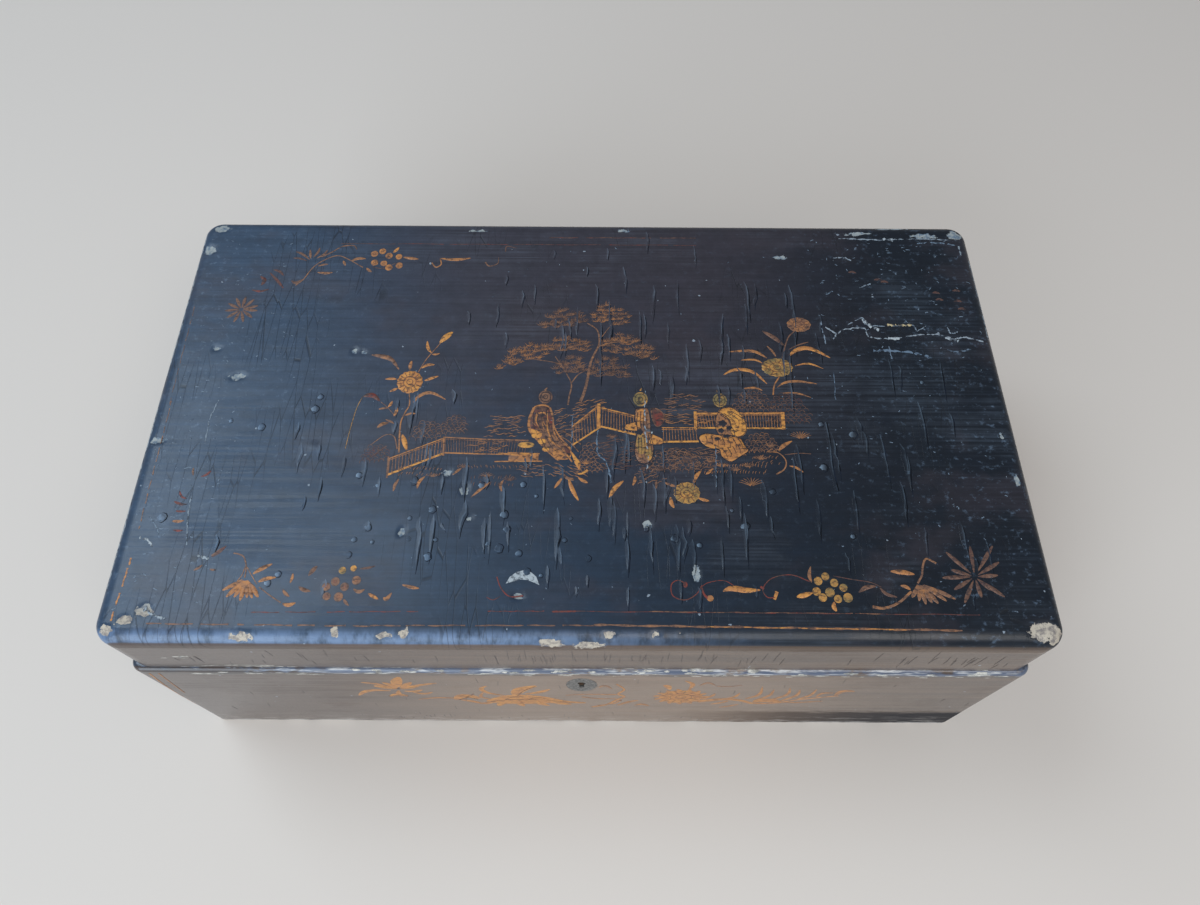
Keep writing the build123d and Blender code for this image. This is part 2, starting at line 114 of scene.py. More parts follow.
soft_panel("window_panel", (-0.9, -1.7, 0.8), (0.0, 0.0, 0.1), 1.5, 32, (0.74, 0.87, 1.0))
soft_panel("back_panel", (-1.25, 0.6, 2.1), (-0.1, 0.0, 0.1), 1.2, 22, (0.74, 0.88, 1.0))
soft_panel("front_panel", (0.7, -1.2, 2.2), (0.0, 0.0, 0.1), 1.4, 26, (1.0, 0.97, 0.93))

sky = bpy.data.worlds.new("pale_sky")
sky.use_nodes = True
sky.node_tree.nodes["Background"].inputs["Color"].default_value = colour(206, 214, 226)
sky.node_tree.nodes["Background"].inputs["Strength"].default_value = 0.38
bpy.context.scene.world = sky

floor_half = 4.0
floor_corners = [(x * floor_half, y * floor_half, 0) for x, y in ((-1, -1), (1, -1), (1, 1), (-1, 1))]
floor_mesh = bpy.data.meshes.new("floor")
floor_mesh.from_pydata(floor_corners, [], [(0, 1, 2, 3)])
floor = bpy.data.objects.new("floor", floor_mesh)
floor.location.z = -0.05 * mm
bpy.context.scene.collection.objects.link(floor)
floor_paint, _, shader = new_material("floor_paint")
shader.inputs["Base Color"].default_value = colour(214, 205, 196)
shader.inputs["Roughness"].default_value = 0.7
floor_mesh.materials.append(floor_paint)


# Aged black lacquer: soot-black coats over a gesso ground, faded to a cool navy that grows lighter towards
# the left, where the navy is partly a painted sheen. Brush strokes run along the box, shrinkage has crazed it
# from front to back, and it is bloomed, scuffed and specked with grey. It also carries a painted highlight
# along the lid's front round-over, and a painted warm reflection of the floor on its upright faces.
fresh_black = colour(7, 17, 28)
navy_fade_and_sheen = colour(42, 62, 84)
warm_patch = colour(54, 48, 54)
painted_floor_warm = colour(94, 74, 58)
painted_floor_dim = colour(70, 54, 44)
bloom_grey = colour(104, 124, 146)
painted_highlight_blue = colour(118, 142, 176)
dust_grey = colour(150, 162, 174)
crack_black = colour(6, 9, 16)
gesso_cream = colour(190, 176, 156)
gesso_dirt = colour(134, 122, 112)
gesso_grey = colour(148, 154, 154)
gesso_blue = colour(92, 110, 128)


def new_group(name, numbers=(), outputs=()):
    """An empty shader group with number inputs (name, value) and outputs (name, kind)."""
    group = bpy.data.node_groups.new(name, "ShaderNodeTree")
    for label, value in numbers:
        group.interface.new_socket(label, in_out="INPUT", socket_type="NodeSocketFloat").default_value = value
    for label, kind in outputs:
        group.interface.new_socket(label, in_out="OUTPUT", socket_type=kind)
    return group, group.nodes.new("NodeGroupInput"), group.nodes.new("NodeGroupOutput")


def calc(tree, operation, first, second=0.0, clamp=False):
    """One sum on two numbers or sockets."""
    return put(tree, "ShaderNodeMath", {0: first, 1: second}, operation=operation, use_clamp=clamp).outputs[0]


def times(tree, first, second, clamp=False):
    """The product of two numbers or sockets."""
    return calc(tree, "MULTIPLY", first, second, clamp)


def plus(tree, first, second, clamp=False):
    """The sum of two numbers or sockets."""
    return calc(tree, "ADD", first, second, clamp)


def rest(tree, share):
    """What a share leaves of one."""
    return calc(tree, "SUBTRACT", 1.0, share)


def shaded(tree, first, amount):
    """A colour or a direction, all three parts times one amount."""
    return put(tree, "ShaderNodeVectorMath", {0: first, "Scale": amount}, operation="SCALE").outputs[0]


def stretched(tree, place, stretch):
    """A place, each of its parts times its own amount."""
    return put(tree, "ShaderNodeVectorMath", {0: place, 1: stretch}, operation="MULTIPLY").outputs[0]


def place_in(tree):
    """The place on the piece, in metres."""
    return put(tree, "ShaderNodeTexCoord").outputs["Object"]


def carried(tree, name):
    """The value that the piece's points carry under a name."""
    return put(tree, "ShaderNodeAttribute", attribute_name=name).outputs["Fac"]


def ramp(tree, value, low, high):
    """0 below one value, 1 above the other, and a smooth step between them."""
    inputs = {"Value": value, "From Min": low, "From Max": high}
    return put(tree, "ShaderNodeMapRange", inputs, interpolation_type="SMOOTHSTEP").outputs[0]


def blend(tree, share, first, second):
    """The first colour turning into the second as the share goes from 0 to 1."""
    made = tree.nodes.new("ShaderNodeMix")
    made.data_type = "RGBA"
    colours = [s for s in made.inputs if s.type == "RGBA"]
    for socket, value in ((made.inputs[0], share), (colours[0], first), (colours[1], second)):
        if isinstance(value, bpy.types.NodeSocket):
            tree.links.new(value, socket)
        else:
            socket.default_value = value
    return [s for s in made.outputs if s.type == "RGBA"][0]


def grain(tree, place, stretch, detail=3.0, roughness=0.55):
    """Noise whose grain is stretched: cells per metre along each axis."""
    inputs = {"Vector": stretched(tree, place, stretch), "Scale": 1.0, "Detail": detail,
              "Roughness": roughness}
    return put(tree, "ShaderNodeTexNoise", inputs).outputs["Fac"]


def cells(tree, place, stretch, feature):
    """Cracked cells, so many per metre along each axis."""
    inputs = {"Vector": stretched(tree, place, stretch), "Scale": 1.0}
    return put(tree, "ShaderNodeTexVoronoi", inputs, feature=feature)


brushed, brushed_in, brushed_out = new_group(
    "aged_lacquer",
    (("Fading and sheen", 1.0), ("Bloom", 1.0), ("Crazing", 1.0), ("Floor reflection", 1.0)),
    (("Color", "NodeSocketColor"), ("Roughness", "NodeSocketFloat"), ("Height", "NodeSocketFloat")),
)
spot = place_in(brushed)
axes = put(brushed, "ShaderNodeSeparateXYZ", {0: spot}).outputs
from_middle = calc(brushed, "ABSOLUTE", axes[0])
streaks = grain(brushed, spot, (11, 760, 760), 4, 0.65)
broad_streaks = grain(brushed, spot, (6, 150, 150), 4, 0.65)
clouds = grain(brushed, spot, (13, 17, 17), 5, 0.65)
speckle = grain(brushed, spot, (900, 900, 900), 2, 0.6)
# Painted sheen: the lighter navy towards the left is partly real fading, partly the lamp's sheen painted in.
wandering = times(brushed, clouds, 0.16)
left_to_right = ramp(brushed, plus(brushed, axes[0], wandering), -0.12, 0.235)
fading_and_sheen = rest(brushed, left_to_right)
fading_and_sheen = times(brushed, fading_and_sheen, brushed_in.outputs["Fading and sheen"], True)
base = blend(brushed, fading_and_sheen, fresh_black, navy_fade_and_sheen)
towards_back = ramp(brushed, plus(brushed, axes[1], wandering), -0.02, 0.16)
middle = rest(brushed, ramp(brushed, from_middle, 0.05, 0.17))
warmth = times(brushed, towards_back, middle)
base = blend(brushed, times(brushed, warmth, 0.75), base, warm_patch)
rusty = ramp(brushed, grain(brushed, spot, (16, 22, 22), 4, 0.6), 0.5, 0.66)
base = blend(brushed, times(brushed, rusty, 0.4), base, warm_patch)
wiped = times(brushed, ramp(brushed, clouds, 0.46, 0.70), ramp(brushed, streaks, 0.36, 0.62))
near_ends = ramp(brushed, from_middle, 0.15, 0.215)
wiped_ends = times(brushed, near_ends, ramp(brushed, streaks, 0.48, 0.68))
dusty = plus(brushed, wiped, times(brushed, wiped_ends, 0.3), True)
dusty = times(brushed, dusty, brushed_in.outputs["Bloom"], True)
base = blend(brushed, times(brushed, dusty, 0.10), base, bloom_grey)
mottled = grain(brushed, spot, (120, 120, 120), 4, 0.7)
bruises = ramp(brushed, grain(brushed, spot, (240, 300, 300), 5, 0.75), 0.54, 0.72)
bruising = times(brushed, ramp(brushed, from_middle, 0.09, 0.2), 0.34)
bruises = times(brushed, bruises, plus(brushed, 0.08, bruising))
base = blend(brushed, times(brushed, bruises, brushed_in.outputs["Bloom"], True), base, bloom_grey)
brush_shade = plus(brushed, times(brushed, streaks, 0.7), times(brushed, broad_streaks, 0.5))
shade = plus(brushed, brush_shade, times(brushed, mottled, 0.8))
base = shaded(brushed, base, shade)
# Painted highlight: a patchy, bluish pale band along the lid's front round-over, strongest on the left.
round_edge = ramp(brushed, times(brushed, axes[1], -1.0), 0.1105, 0.1150)
round_edge = times(brushed, round_edge, ramp(brushed, axes[2], 0.1410, 0.1455))
round_over_highlight = times(brushed, round_edge, ramp(brushed, axes[0], 0.10, -0.06))
round_over_highlight = times(brushed, round_over_highlight, ramp(brushed, grain(brushed, spot, (130, 60, 60), 4, 0.7), 0.3, 0.6))
base = blend(brushed, times(brushed, round_over_highlight, 0.6), base, painted_highlight_blue)
# Painted reflection: the upright faces, the front fully and the ends and back by half, are painted a streaky
# warm brown as if the pale floor shone in them; it is dimmer towards the left.
front_side = ramp(brushed, times(brushed, axes[1], -1.0), 0.1171, 0.1176)
end_sides = times(brushed, ramp(brushed, from_middle, 0.2088, 0.2094), 0.5)
back_side = times(brushed, ramp(brushed, axes[1], 0.1192, 0.1197), 0.5)
facing = calc(brushed, "MAXIMUM", front_side, calc(brushed, "MAXIMUM", end_sides, back_side))
facing = times(brushed, facing, brushed_in.outputs["Floor reflection"])
floor_reflection = blend(brushed, ramp(brushed, broad_streaks, 0.34, 0.66), painted_floor_dim, painted_floor_warm)
floor_reflection = shaded(brushed, floor_reflection, plus(brushed, 0.7, times(brushed, streaks, 0.6)))
floor_reflection = blend(brushed, ramp(brushed, times(brushed, axes[0], -1.0), 0.04, 0.20), floor_reflection, painted_floor_dim)
base = blend(brushed, times(brushed, facing, 0.9), base, floor_reflection)
craze = cells(brushed, spot, (240, 30, 30), "DISTANCE_TO_EDGE").outputs["Distance"]
craze_places = ramp(brushed, grain(brushed, spot, (26, 16, 16), 3), 0.48, 0.64)
craze_line = rest(brushed, ramp(brushed, craze, 0.010, 0.034))
cracks = times(brushed, times(brushed, craze_line, craze_places), brushed_in.outputs["Crazing"], True)
base = blend(brushed, times(brushed, cracks, 0.55), base, crack_black)
shaken = put(brushed, "ShaderNodeTexNoise", {"Vector": spot, "Scale": 700.0, "Detail": 2.0}).outputs["Color"]
shaken = shaded(brushed, shaken, 1.4 * mm)
shaken = put(brushed, "ShaderNodeVectorMath", {0: spot, 1: shaken}, operation="ADD").outputs[0]
dust = cells(brushed, shaken, (230, 230, 230), "F1")
dust_size = put(brushed, "ShaderNodeSeparateColor", {0: dust.outputs["Color"]}).outputs[0]
dust_reach = times(brushed, calc(brushed, "POWER", dust_size, 14.0), 0.16)
dust_spot = calc(brushed, "LESS_THAN", dust.outputs["Distance"], dust_reach)
base = blend(brushed, times(brushed, dust_spot, 0.7), base, dust_grey)
relief = plus(brushed, times(brushed, streaks, 0.35), times(brushed, clouds, 0.6))
relief = calc(brushed, "SUBTRACT", relief, times(brushed, cracks, 0.9))
roughening = plus(brushed, dusty, times(brushed, speckle, 0.3))
gloss = plus(brushed, 0.32, times(brushed, roughening, 0.4))
for label, value in (("Color", base), ("Roughness", gloss), ("Height", relief)):
    brushed.links.new(value, brushed_out.inputs[label])


def lacquer(name, fading_and_sheen=1.0, bloom=1.0, crazing=1.0, floor_reflection=1.0, coat=0.12, flaked=False):
    """Lacquer with its own amounts of each kind of age and of painted light: a lighter navy on the left that
    is partly a painted sheen, and a painted warm reflection of the floor on the upright faces. Where the
    piece
    carries a flaked value, gesso shows: cream at the front edge, grey and bluish further in."""
    material, tree, shader = new_material(name)
    aged = put(tree, "ShaderNodeGroup", node_tree=brushed)
    for label, value in (("Fading and sheen", fading_and_sheen), ("Bloom", bloom), ("Crazing", crazing), ("Floor reflection", floor_reflection)):
        aged.inputs[label].default_value = value
    skin, gloss, height = (aged.outputs[label] for label in ("Color", "Roughness", "Height"))
    if flaked:
        spot = place_in(tree)
        axes = put(tree, "ShaderNodeSeparateXYZ", {0: spot}).outputs
        torn = carried(tree, "flaked")
        ragged = plus(tree, torn, times(tree, grain(tree, spot, (900, 900, 900), 4, 0.7), 0.6))
        ragged = plus(tree, ragged, times(tree, grain(tree, spot, (260, 260, 260), 4, 0.7), 1.4))
        bare = ramp(tree, ragged, 1.16, 1.2)
        stain = ramp(tree, grain(tree, spot, (420, 420, 420), 4, 0.7), 0.38, 0.58)
        at_edge = times(tree, ramp(tree, times(tree, axes[1], -1.0), 0.098, 0.108), 0.8)
        gesso = blend(tree, at_edge, gesso_grey, gesso_cream)
        gesso = blend(tree, stain, blend(tree, at_edge, gesso_blue, gesso_dirt), gesso)
        skin = blend(tree, bare, skin, gesso)
        gloss = plus(tree, gloss, times(tree, bare, 0.4), True)
    bump = put(tree, "ShaderNodeBump", {"Height": height, "Strength": 0.35, "Distance": 0.25 * mm})
    tree.links.new(skin, shader.inputs["Base Color"])
    tree.links.new(gloss, shader.inputs["Roughness"])
    tree.links.new(bump.outputs[0], shader.inputs["Normal"])
    shader.inputs["Specular IOR Level"].default_value = 0.42
    shader.inputs["Coat Weight"].default_value = coat
    shader.inputs["Coat Roughness"].default_value = 0.16
    return material


# The lid's top: one thick panel with a rounded edge all round, gessoed and lacquered. The skin is worked
# in here: it swells a little, has flaked to the gesso in places and is knocked away at the corners.
panel_low, panel_high = (np.array(corner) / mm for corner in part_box("lid_top_panel"))
plan_radius = 10.0
round_over = 7.0
skin_inset = 0.29            # the skin lies this far under the panel's size, so that gilding can lie on it
swell_height = 0.045
flake_depth = 0.5
weld_distance = 0.0005 * mm  # points nearer than this are one point
round_foot = panel_high[2] - round_over
lid_middle_y = (panel_low[1] + panel_high[1]) / 2
lid_half = np.array([panel_high[0], (panel_high[1] - panel_low[1]) / 2])


def mottle(points, wave, seed, count=14):
    """Soft lumps about -1 to 1: the sum of plane sine waves of about one length, each with a random
    direction and phase, divided by the square root of half their number."""
    dice = np.random.default_rng(seed)
    directions = dice.normal(size=(count, points.shape[-1]))
    directions /= np.linalg.norm(directions, axis=1)[:, None]
    lengths = wave * dice.uniform(0.6, 1.5, count)
    phases = dice.uniform(0, 2 * pi, count)
    return np.sin(points @ (directions * (2 * pi / lengths)[:, None]).T + phases).sum(-1) / np.sqrt(count / 2)


def smooth_step(value, low, high):
    """0 below low, 1 above high, 3t^2 - 2t^3 between them."""
    share = np.clip((value - low) / (high - low), 0, 1)
    return share * share * (3 - 2 * share)


def edge_distance(x, y):
    """How far a place lies in from the lid's outline, a rectangle with rounded corners: past a straight
    side it is the distance to that side, in a corner it is the radius less the distance to its centre."""
    beyond_x = np.abs(x) - lid_half[0] + plan_radius
    beyond_y = np.abs(y - lid_middle_y) - lid_half[1] + plan_radius
    outside = np.hypot(np.maximum(beyond_x, 0), np.maximum(beyond_y, 0))
    return plan_radius - outside - np.minimum(np.maximum(beyond_x, beyond_y), 0)


def form_height(x, y):
    """The panel's top as built: the quarter round of its edge, level past the round-over."""
    inward = np.clip(edge_distance(x, y), 0, round_over)
    return round_foot + np.sqrt(round_over**2 - (round_over - inward) ** 2)


def swell(x, y):
    """The skin's slow unevenness, nothing at the rim."""
    place = np.stack([x, y], -1)
    lumps = 0.6 * mottle(place, 46, 3) + 0.3 * mottle(place * (0.25, 1), 9, 5)
    return swell_height * lumps * smooth_step(edge_distance(x, y), 1, 7)


def skin_height(x, y):
    """Level of the lacquer on the lid's top, without its flakes."""
    return form_height(x, y) - skin_inset * smooth_step(edge_distance(x, y), 0.5, 6) + swell(x, y)


# Flaked places on the lid: middle x and y, and half their length and width
flakes = [
    (-172, 16.5, 4.6, 2.6), (-116, 32.5, 2, 1.6), (-112, 31.5, 2.4, 1.5), (-54.5, -45.5, 2.7, 2.6),
    (-64, -36.5, 2.8, 2.4), (-81.5, -66.5, 1.4, 2.6), (30, -62.5, 2.4, 3), (51, -86, 2, 4.6),
    (105, 95.5, 4.2, 1.6), (201.5, -15, 1.6, 1.6), (204, -39, 1.6, 3.4), (199.5, -111.5, 8, 5),
    (205, -113.5, 5, 5), (-203, -20, 5, 1.8), (-188.5, -104, 5, 3), (-196, -108.5, 4, 2.4),
    (-203, -113, 4.5, 3), (-186.5, 33.5, 2.6, 1.4), (-204, 98, 4, 3.6), (-200, 113.5, 6, 3),
    (-145.5, -115.4, 7, 1.9), (-105, -113.4, 2.2, 2.8), (-83.5, -114.6, 4.4, 1.5), (-75.5, -113.6, 2.4, 2.4),
    (-13, -117, 6.6, 2.4), (12, -113.5, 3.4, 1.7), (32, -113.5, 1.4, 1.6), (42.5, -112.5, 1.2, 1),
    (4, -117.6, 8, 1.4), (150, 112.5, 12, 1.4), (185, 111, 10, 1.6), (203, 112, 5, 4),
    (-27, -97, 2.4, 1.6), (-51, -60, 1.5, 1.5), (-60, 113, 7, 1), (20, 114, 5, 1.2),
]
blister_middle = (-128.5, -22.5)
blister_size = (3.4, 3)
blister_height = 0.2


def oval_depth(points, middle, size):
    """1 in the middle of an oval patch and 0 at its rim: one less the distance in the oval's own radii."""
    x, y = middle
    centre = np.array([x, y, form_height(np.array(x), np.array(y))])
    return 1 - np.linalg.norm((points - centre) / (size[0], size[1], 4.0), axis=-1)


def flaked(points):
    """How deep each point lies inside a flaked place: the best of all the places, after the point is
    shaken sideways by a coarse and a fine mottle so that their rims are ragged."""
    ragged = np.stack([mottle(points, 4.0, 11), mottle(points, 4.0, 12), 0 * points[..., 0]], -1)
    fine = np.stack([mottle(points, 1.9, 13), mottle(points, 1.9, 14), 0 * points[..., 0]], -1)
    shaken = points + 0.34 * ragged + 0.22 * fine
    deepest = np.full(points.shape[:-1], -1.0)
    for x, y, length, width in flakes:
        deepest = np.maximum(deepest, oval_depth(shaken, (x, y), (length, width)))
    return deepest


def rim_path(half, middle_y, radius, cells_x, cells_y, corner_cells):
    """The outline of a rounded rectangle, split as a path of core points and outward directions: a point
    in by d lies at the core point plus (radius - d) times its direction. It starts at the front left and
    runs anticlockwise, each side followed by the quarter turn of its corner."""
    core_half = np.array(half) - radius
    corners = np.array([(-1, -1), (1, -1), (1, 1), (-1, 1)]) * core_half
    starts, ways = [], []
    for side in range(4):
        count = cells_x if side % 2 == 0 else cells_y
        share = np.linspace(0, 1, count + 1)[:, None]
        first, last = corners[side], corners[(side + 1) % 4]
        starts.append(first + (last - first) * share)
        angle = -pi / 2 + side * pi / 2
        ways.append(np.tile((cos(angle), sin(angle)), (count + 1, 1)))
        turn = angle + np.linspace(0, pi / 2, corner_cells + 1)[1:-1]
        starts.append(np.tile(last, (corner_cells - 1, 1)))
        ways.append(np.stack([np.cos(turn), np.sin(turn)], -1))
    core = np.concatenate(starts)
    core[:, 1] += middle_y
    return core, np.concatenate(ways)


def grid_faces(rows, columns, first=0, wrap=False):
    """Four-sided faces of a grid of points numbered row by row; wrap joins the last column to the first."""
    numbers = first + np.arange(rows * columns).reshape(rows, columns)
    if wrap:
        numbers = np.concatenate([numbers, numbers[:, :1]], 1)
    return np.stack([numbers[:-1, :-1], numbers[:-1, 1:], numbers[1:, 1:], numbers[1:, :-1]],
                    -1).reshape(-1, 4)


def build(name, points, faces, material, body, values=None, smooth_angle=40, more_faces=()):
    """A finished piece: points in millimetres become a mesh, doubles are merged, flats are kept crisp."""
    mesh = bpy.data.meshes.new(name)
    mesh.from_pydata((np.asarray(points) * mm).tolist(), [], faces.tolist() + [list(f) for f in more_faces])
    for label, value in (values or {}).items():
        mesh.attributes.new(label, "FLOAT", "POINT").data.foreach_set("value", np.asarray(value, np.float32))
    shape = bmesh.new()
    shape.from_mesh(mesh)
    bmesh.ops.remove_doubles(shape, verts=shape.verts, dist=weld_distance)
    bmesh.ops.dissolve_degenerate(shape, edges=shape.edges, dist=weld_distance)
    shape.to_mesh(mesh)
    shape.free()
    mesh.polygons.foreach_set("use_smooth", np.ones(len(mesh.polygons), bool))
    mesh.set_sharp_from_angle(angle=radians(smooth_angle))
    mesh.materials.append(material)
    piece = bpy.data.objects.new(name, mesh)
    bpy.context.scene.collection.objects.link(piece)
    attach(piece, body)
    return piece


cell = 1.3
corner_cells = 12
core_half = lid_half - plan_radius
cells_x, cells_y = (int(round(2 * size / cell)) for size in core_half)
core, outward = rim_path(lid_half, lid_middle_y, plan_radius, cells_x, cells_y, corner_cells)
ring = len(core)
turns = np.linspace(0, pi / 2, 11)
inward = np.append(round_over * (1 - np.cos(turns)), ((round_over + plan_radius) / 2, plan_radius))
band_xy = core[None] + outward[None] * (plan_radius - inward)[:, None, None]
band_z = form_height(band_xy[..., 0], band_xy[..., 1])
wall_share = np.array([0, 0.35, 0.7])[:, None]
wall_xy = np.repeat(band_xy[:1], 3, axis=0)
wall_z = panel_low[2] + wall_share * (band_z[:1] - panel_low[2])
shell = np.concatenate([np.concatenate([wall_xy, wall_z[..., None]], -1),
                        np.concatenate([band_xy, band_z[..., None]], -1)])
across = np.linspace(-core_half[0], core_half[0], cells_x + 1)
back = np.linspace(-core_half[1], core_half[1], cells_y + 1) + lid_middle_y
field_x, field_y = np.meshgrid(across, back)
field = np.stack([field_x, field_y, form_height(field_x, field_y)], -1)
skin_points = np.concatenate([shell.reshape(-1, 3), field.reshape(-1, 3)])
skin_faces = np.concatenate([
    grid_faces(len(shell), ring, wrap=True),
    grid_faces(cells_y + 1, cells_x + 1, first=len(shell) * ring),
])

torn = flaked(skin_points)
from_core = skin_points[:, :2] - (0, lid_middle_y)
from_core -= np.clip(from_core, -core_half, core_half)
reach = np.linalg.norm(from_core, axis=1, keepdims=True)
sideways = from_core / (reach + 1e-9) * np.maximum(reach - (plan_radius - round_over), 0)
upwards = np.maximum(skin_points[:, 2:] - round_foot, 0)
out_of_heart = np.concatenate([sideways, upwards], 1)
out_of_heart /= np.linalg.norm(out_of_heart, axis=1)[:, None]
top_share = smooth_step(edge_distance(skin_points[:, 0], skin_points[:, 1]), 0.5, 6)
sunk = skin_inset * top_share - swell(skin_points[:, 0], skin_points[:, 1])
above_foot = smooth_step(skin_points[:, 2] - panel_low[2], 0.5, 3)
sunk += flake_depth * smooth_step(torn, 0.0, 0.3) * above_foot
bulge = oval_depth(skin_points, blister_middle, blister_size)
sunk -= blister_height * smooth_step(bulge, 0.0, 0.7)
skin_points = skin_points - out_of_heart * sunk[:, None]
underside = [list(range(ring))[::-1]]
lid_lacquer = lacquer("lid_lacquer", flaked=True)
lid_skin = build("lid_top_skin", skin_points, skin_faces, lid_lacquer, "lid",
                 {"flaked": torn}, more_faces=underside)
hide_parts("lid_top_panel")


# Crackle lips: where the coats have shrunk across the lid they stand up in low, sharp edges that run from
# front to back, one side steep, the other a gentle rise. The light on the rise is painted in as a pale edge,
# and the steep side's shade as a dark stroke beside it, which is also the crack.
foot_depth = 0.14            # how far a raised mark is rooted in the skin
golden_share = 0.618         # times a mark's number, less its whole part: spreads heights evenly
line_stagger = 0.02          # the most that this raises one line of a mark over another
mark_stagger = 0.03          # and one mark of a piece over another
shoulder = 0.36              # how far from its middle a stroke's flat top reaches, in widths
lip_sharpness = 12           # degrees between faces from which a lip's edge is kept crisp


def along(points, steps=6):
    """A smooth line through a few points: the Catmull-Rom curve, each span cut into equal steps."""
    points = np.asarray(points, float)
    run = np.concatenate([2 * points[:1] - points[1:2], points, 2 * points[-1:] - points[-2:-1]])
    share = np.linspace(0, 1, steps, endpoint=False)[:, None]
    spans = []
    for a, b, c, d in zip(run[:-3], run[1:-2], run[2:-1], run[3:]):
        bend = (2 * a - 5 * b + 4 * c - d) * share**2 + (3 * b - a - 3 * c + d) * share**3
        spans.append(0.5 * (2 * b + (c - a) * share + bend))
    return np.concatenate([*spans, points[-1:]])


def strokes(lines, widths, lift=0.1, left_share=1.0):
    """Raised strokes along lines in a plane. Across each line the section is a low flat-topped ridge,
    rooted under the plane; left_share is how much of the ridge's height its left shoulder has. Strokes
    that cross lie at slightly different heights. Both ends are closed by a station of no width."""
    lines = np.asarray(lines, float)
    lines = lines[None] if lines.ndim == 2 else lines
    widths = np.broadcast_to(widths, lines.shape[:2])
    way = np.gradient(lines, axis=1)
    way /= np.linalg.norm(way, axis=-1, keepdims=True) + 1e-9
    leftward = np.stack([-way[..., 1], way[..., 0]], -1)
    lines, leftward = (np.concatenate([a[:, :1], a, a[:, -1:]], 1) for a in (lines, leftward))
    none = np.zeros((len(widths), 1))
    widths = np.concatenate([none, widths, none], 1)
    fullness = np.clip(2.5 * widths / (widths.max(1, keepdims=True) + 1e-9), 0, 1)
    offsets = np.array([0.5, shoulder, -shoulder, -0.5])
    rises = np.array([0, left_share, 1, 0])
    flat = lines[:, :, None] + leftward[:, :, None] * (widths[..., None] * offsets)[..., None]
    lifts = lift + line_stagger * (np.arange(len(lines)) * golden_share % 1)[:, None, None]
    height = (lifts + foot_depth) * rises * fullness[..., None] - foot_depth
    points = np.concatenate([flat, height[..., None]], -1)
    count, stations = points.shape[:2]
    one = grid_faces(stations, 4, wrap=True)
    faces = (one[None] + (np.arange(count) * stations * 4)[:, None, None]).reshape(-1, 4)
    return points.reshape(-1, 3), faces


def on_lid(points):
    """From places on the lid's plan and heights over its skin to points of the box."""
    return np.stack([points[:, 0], points[:, 1], skin_height(points[:, 0], points[:, 1]) + points[:, 2]], -1)


def gather(marks, place, key):
    """Join marks, each (points, faces, value), into one set of points, faces and values under a name.
    The top of each mark is raised a little by its number, so that marks that overlap never coincide."""
    counts = [len(points) for points, _, _ in marks]
    firsts = np.cumsum([0] + counts)
    faces = np.concatenate([faces + first for (_, faces, _), first in zip(marks, firsts)])
    values = np.concatenate([np.full(len(points), value, float) for points, _, value in marks])
    points = np.concatenate([points for points, _, _ in marks])
    extra = mark_stagger * (np.repeat(np.arange(len(marks)), counts) * golden_share % 1)
    points[:, 2] += np.where(points[:, 2] > 0, extra, 0)
    return place(points), faces, {key: values}


def lay(name, marks, place, material, body, key="tone", smooth_angle=40):
    """Lay a group of marks on the box as one piece."""
    points, faces, values = gather(marks, place, key)
    return build(name, points, faces, material, body, values, smooth_angle)


def pad(outline, tone=0.55, lift=0.1):
    """A filled patch: rings that shrink from the outline to the middle of its points, level on top, with
    a rounded rim; the underside is drawn to its middle below the skin."""
    middle = outline.mean(0)
    shares = np.array([0, 1, 0.96, 0.8, 0.55, 0.3, 0])
    heights = np.array([-foot_depth, -foot_depth, lift * 0.8, lift, lift, lift, lift])
    flat = middle + shares[:, None, None] * (outline - middle)
    level = np.broadcast_to(heights[:, None, None], (*flat.shape[:2], 1))
    points = np.concatenate([flat, level], -1).reshape(-1, 3)
    return points, grid_faces(len(shares), len(outline), wrap=True), tone


def crackle_lines(count, low, high, length, seed):
    """Places for cracks: each runs towards the back with small sudden steps sideways."""
    dice = np.random.default_rng(seed)
    stations = 7
    foot = dice.uniform(low, high, (count, 1, 2))
    reach = dice.uniform(0.35, 1, (count, 1)) * length * np.linspace(0, 1, stations)
    steps = np.cumsum(dice.normal(0, 0.5, (count, stations)) * (dice.random((count, stations)) < 0.4), 1)
    lines = np.stack([steps, reach], -1) + foot
    return lines - (0, 0.5) * lines[:, -1:] + (0, 0.5) * foot


def lip(lines, widths):
    """Lips along lines that run towards the back: a gentle rise up from the left, painted pale towards its
    top as a highlight, ending in a sharp edge on the right. The highlight value rises from 0 at the foot of
    the rise to 1 at the edge."""
    points, faces = strokes(lines, widths, lift=0.15, left_share=0.5)
    return points, faces, np.tile([0, 0.15, 1, 1], len(points) // 4)


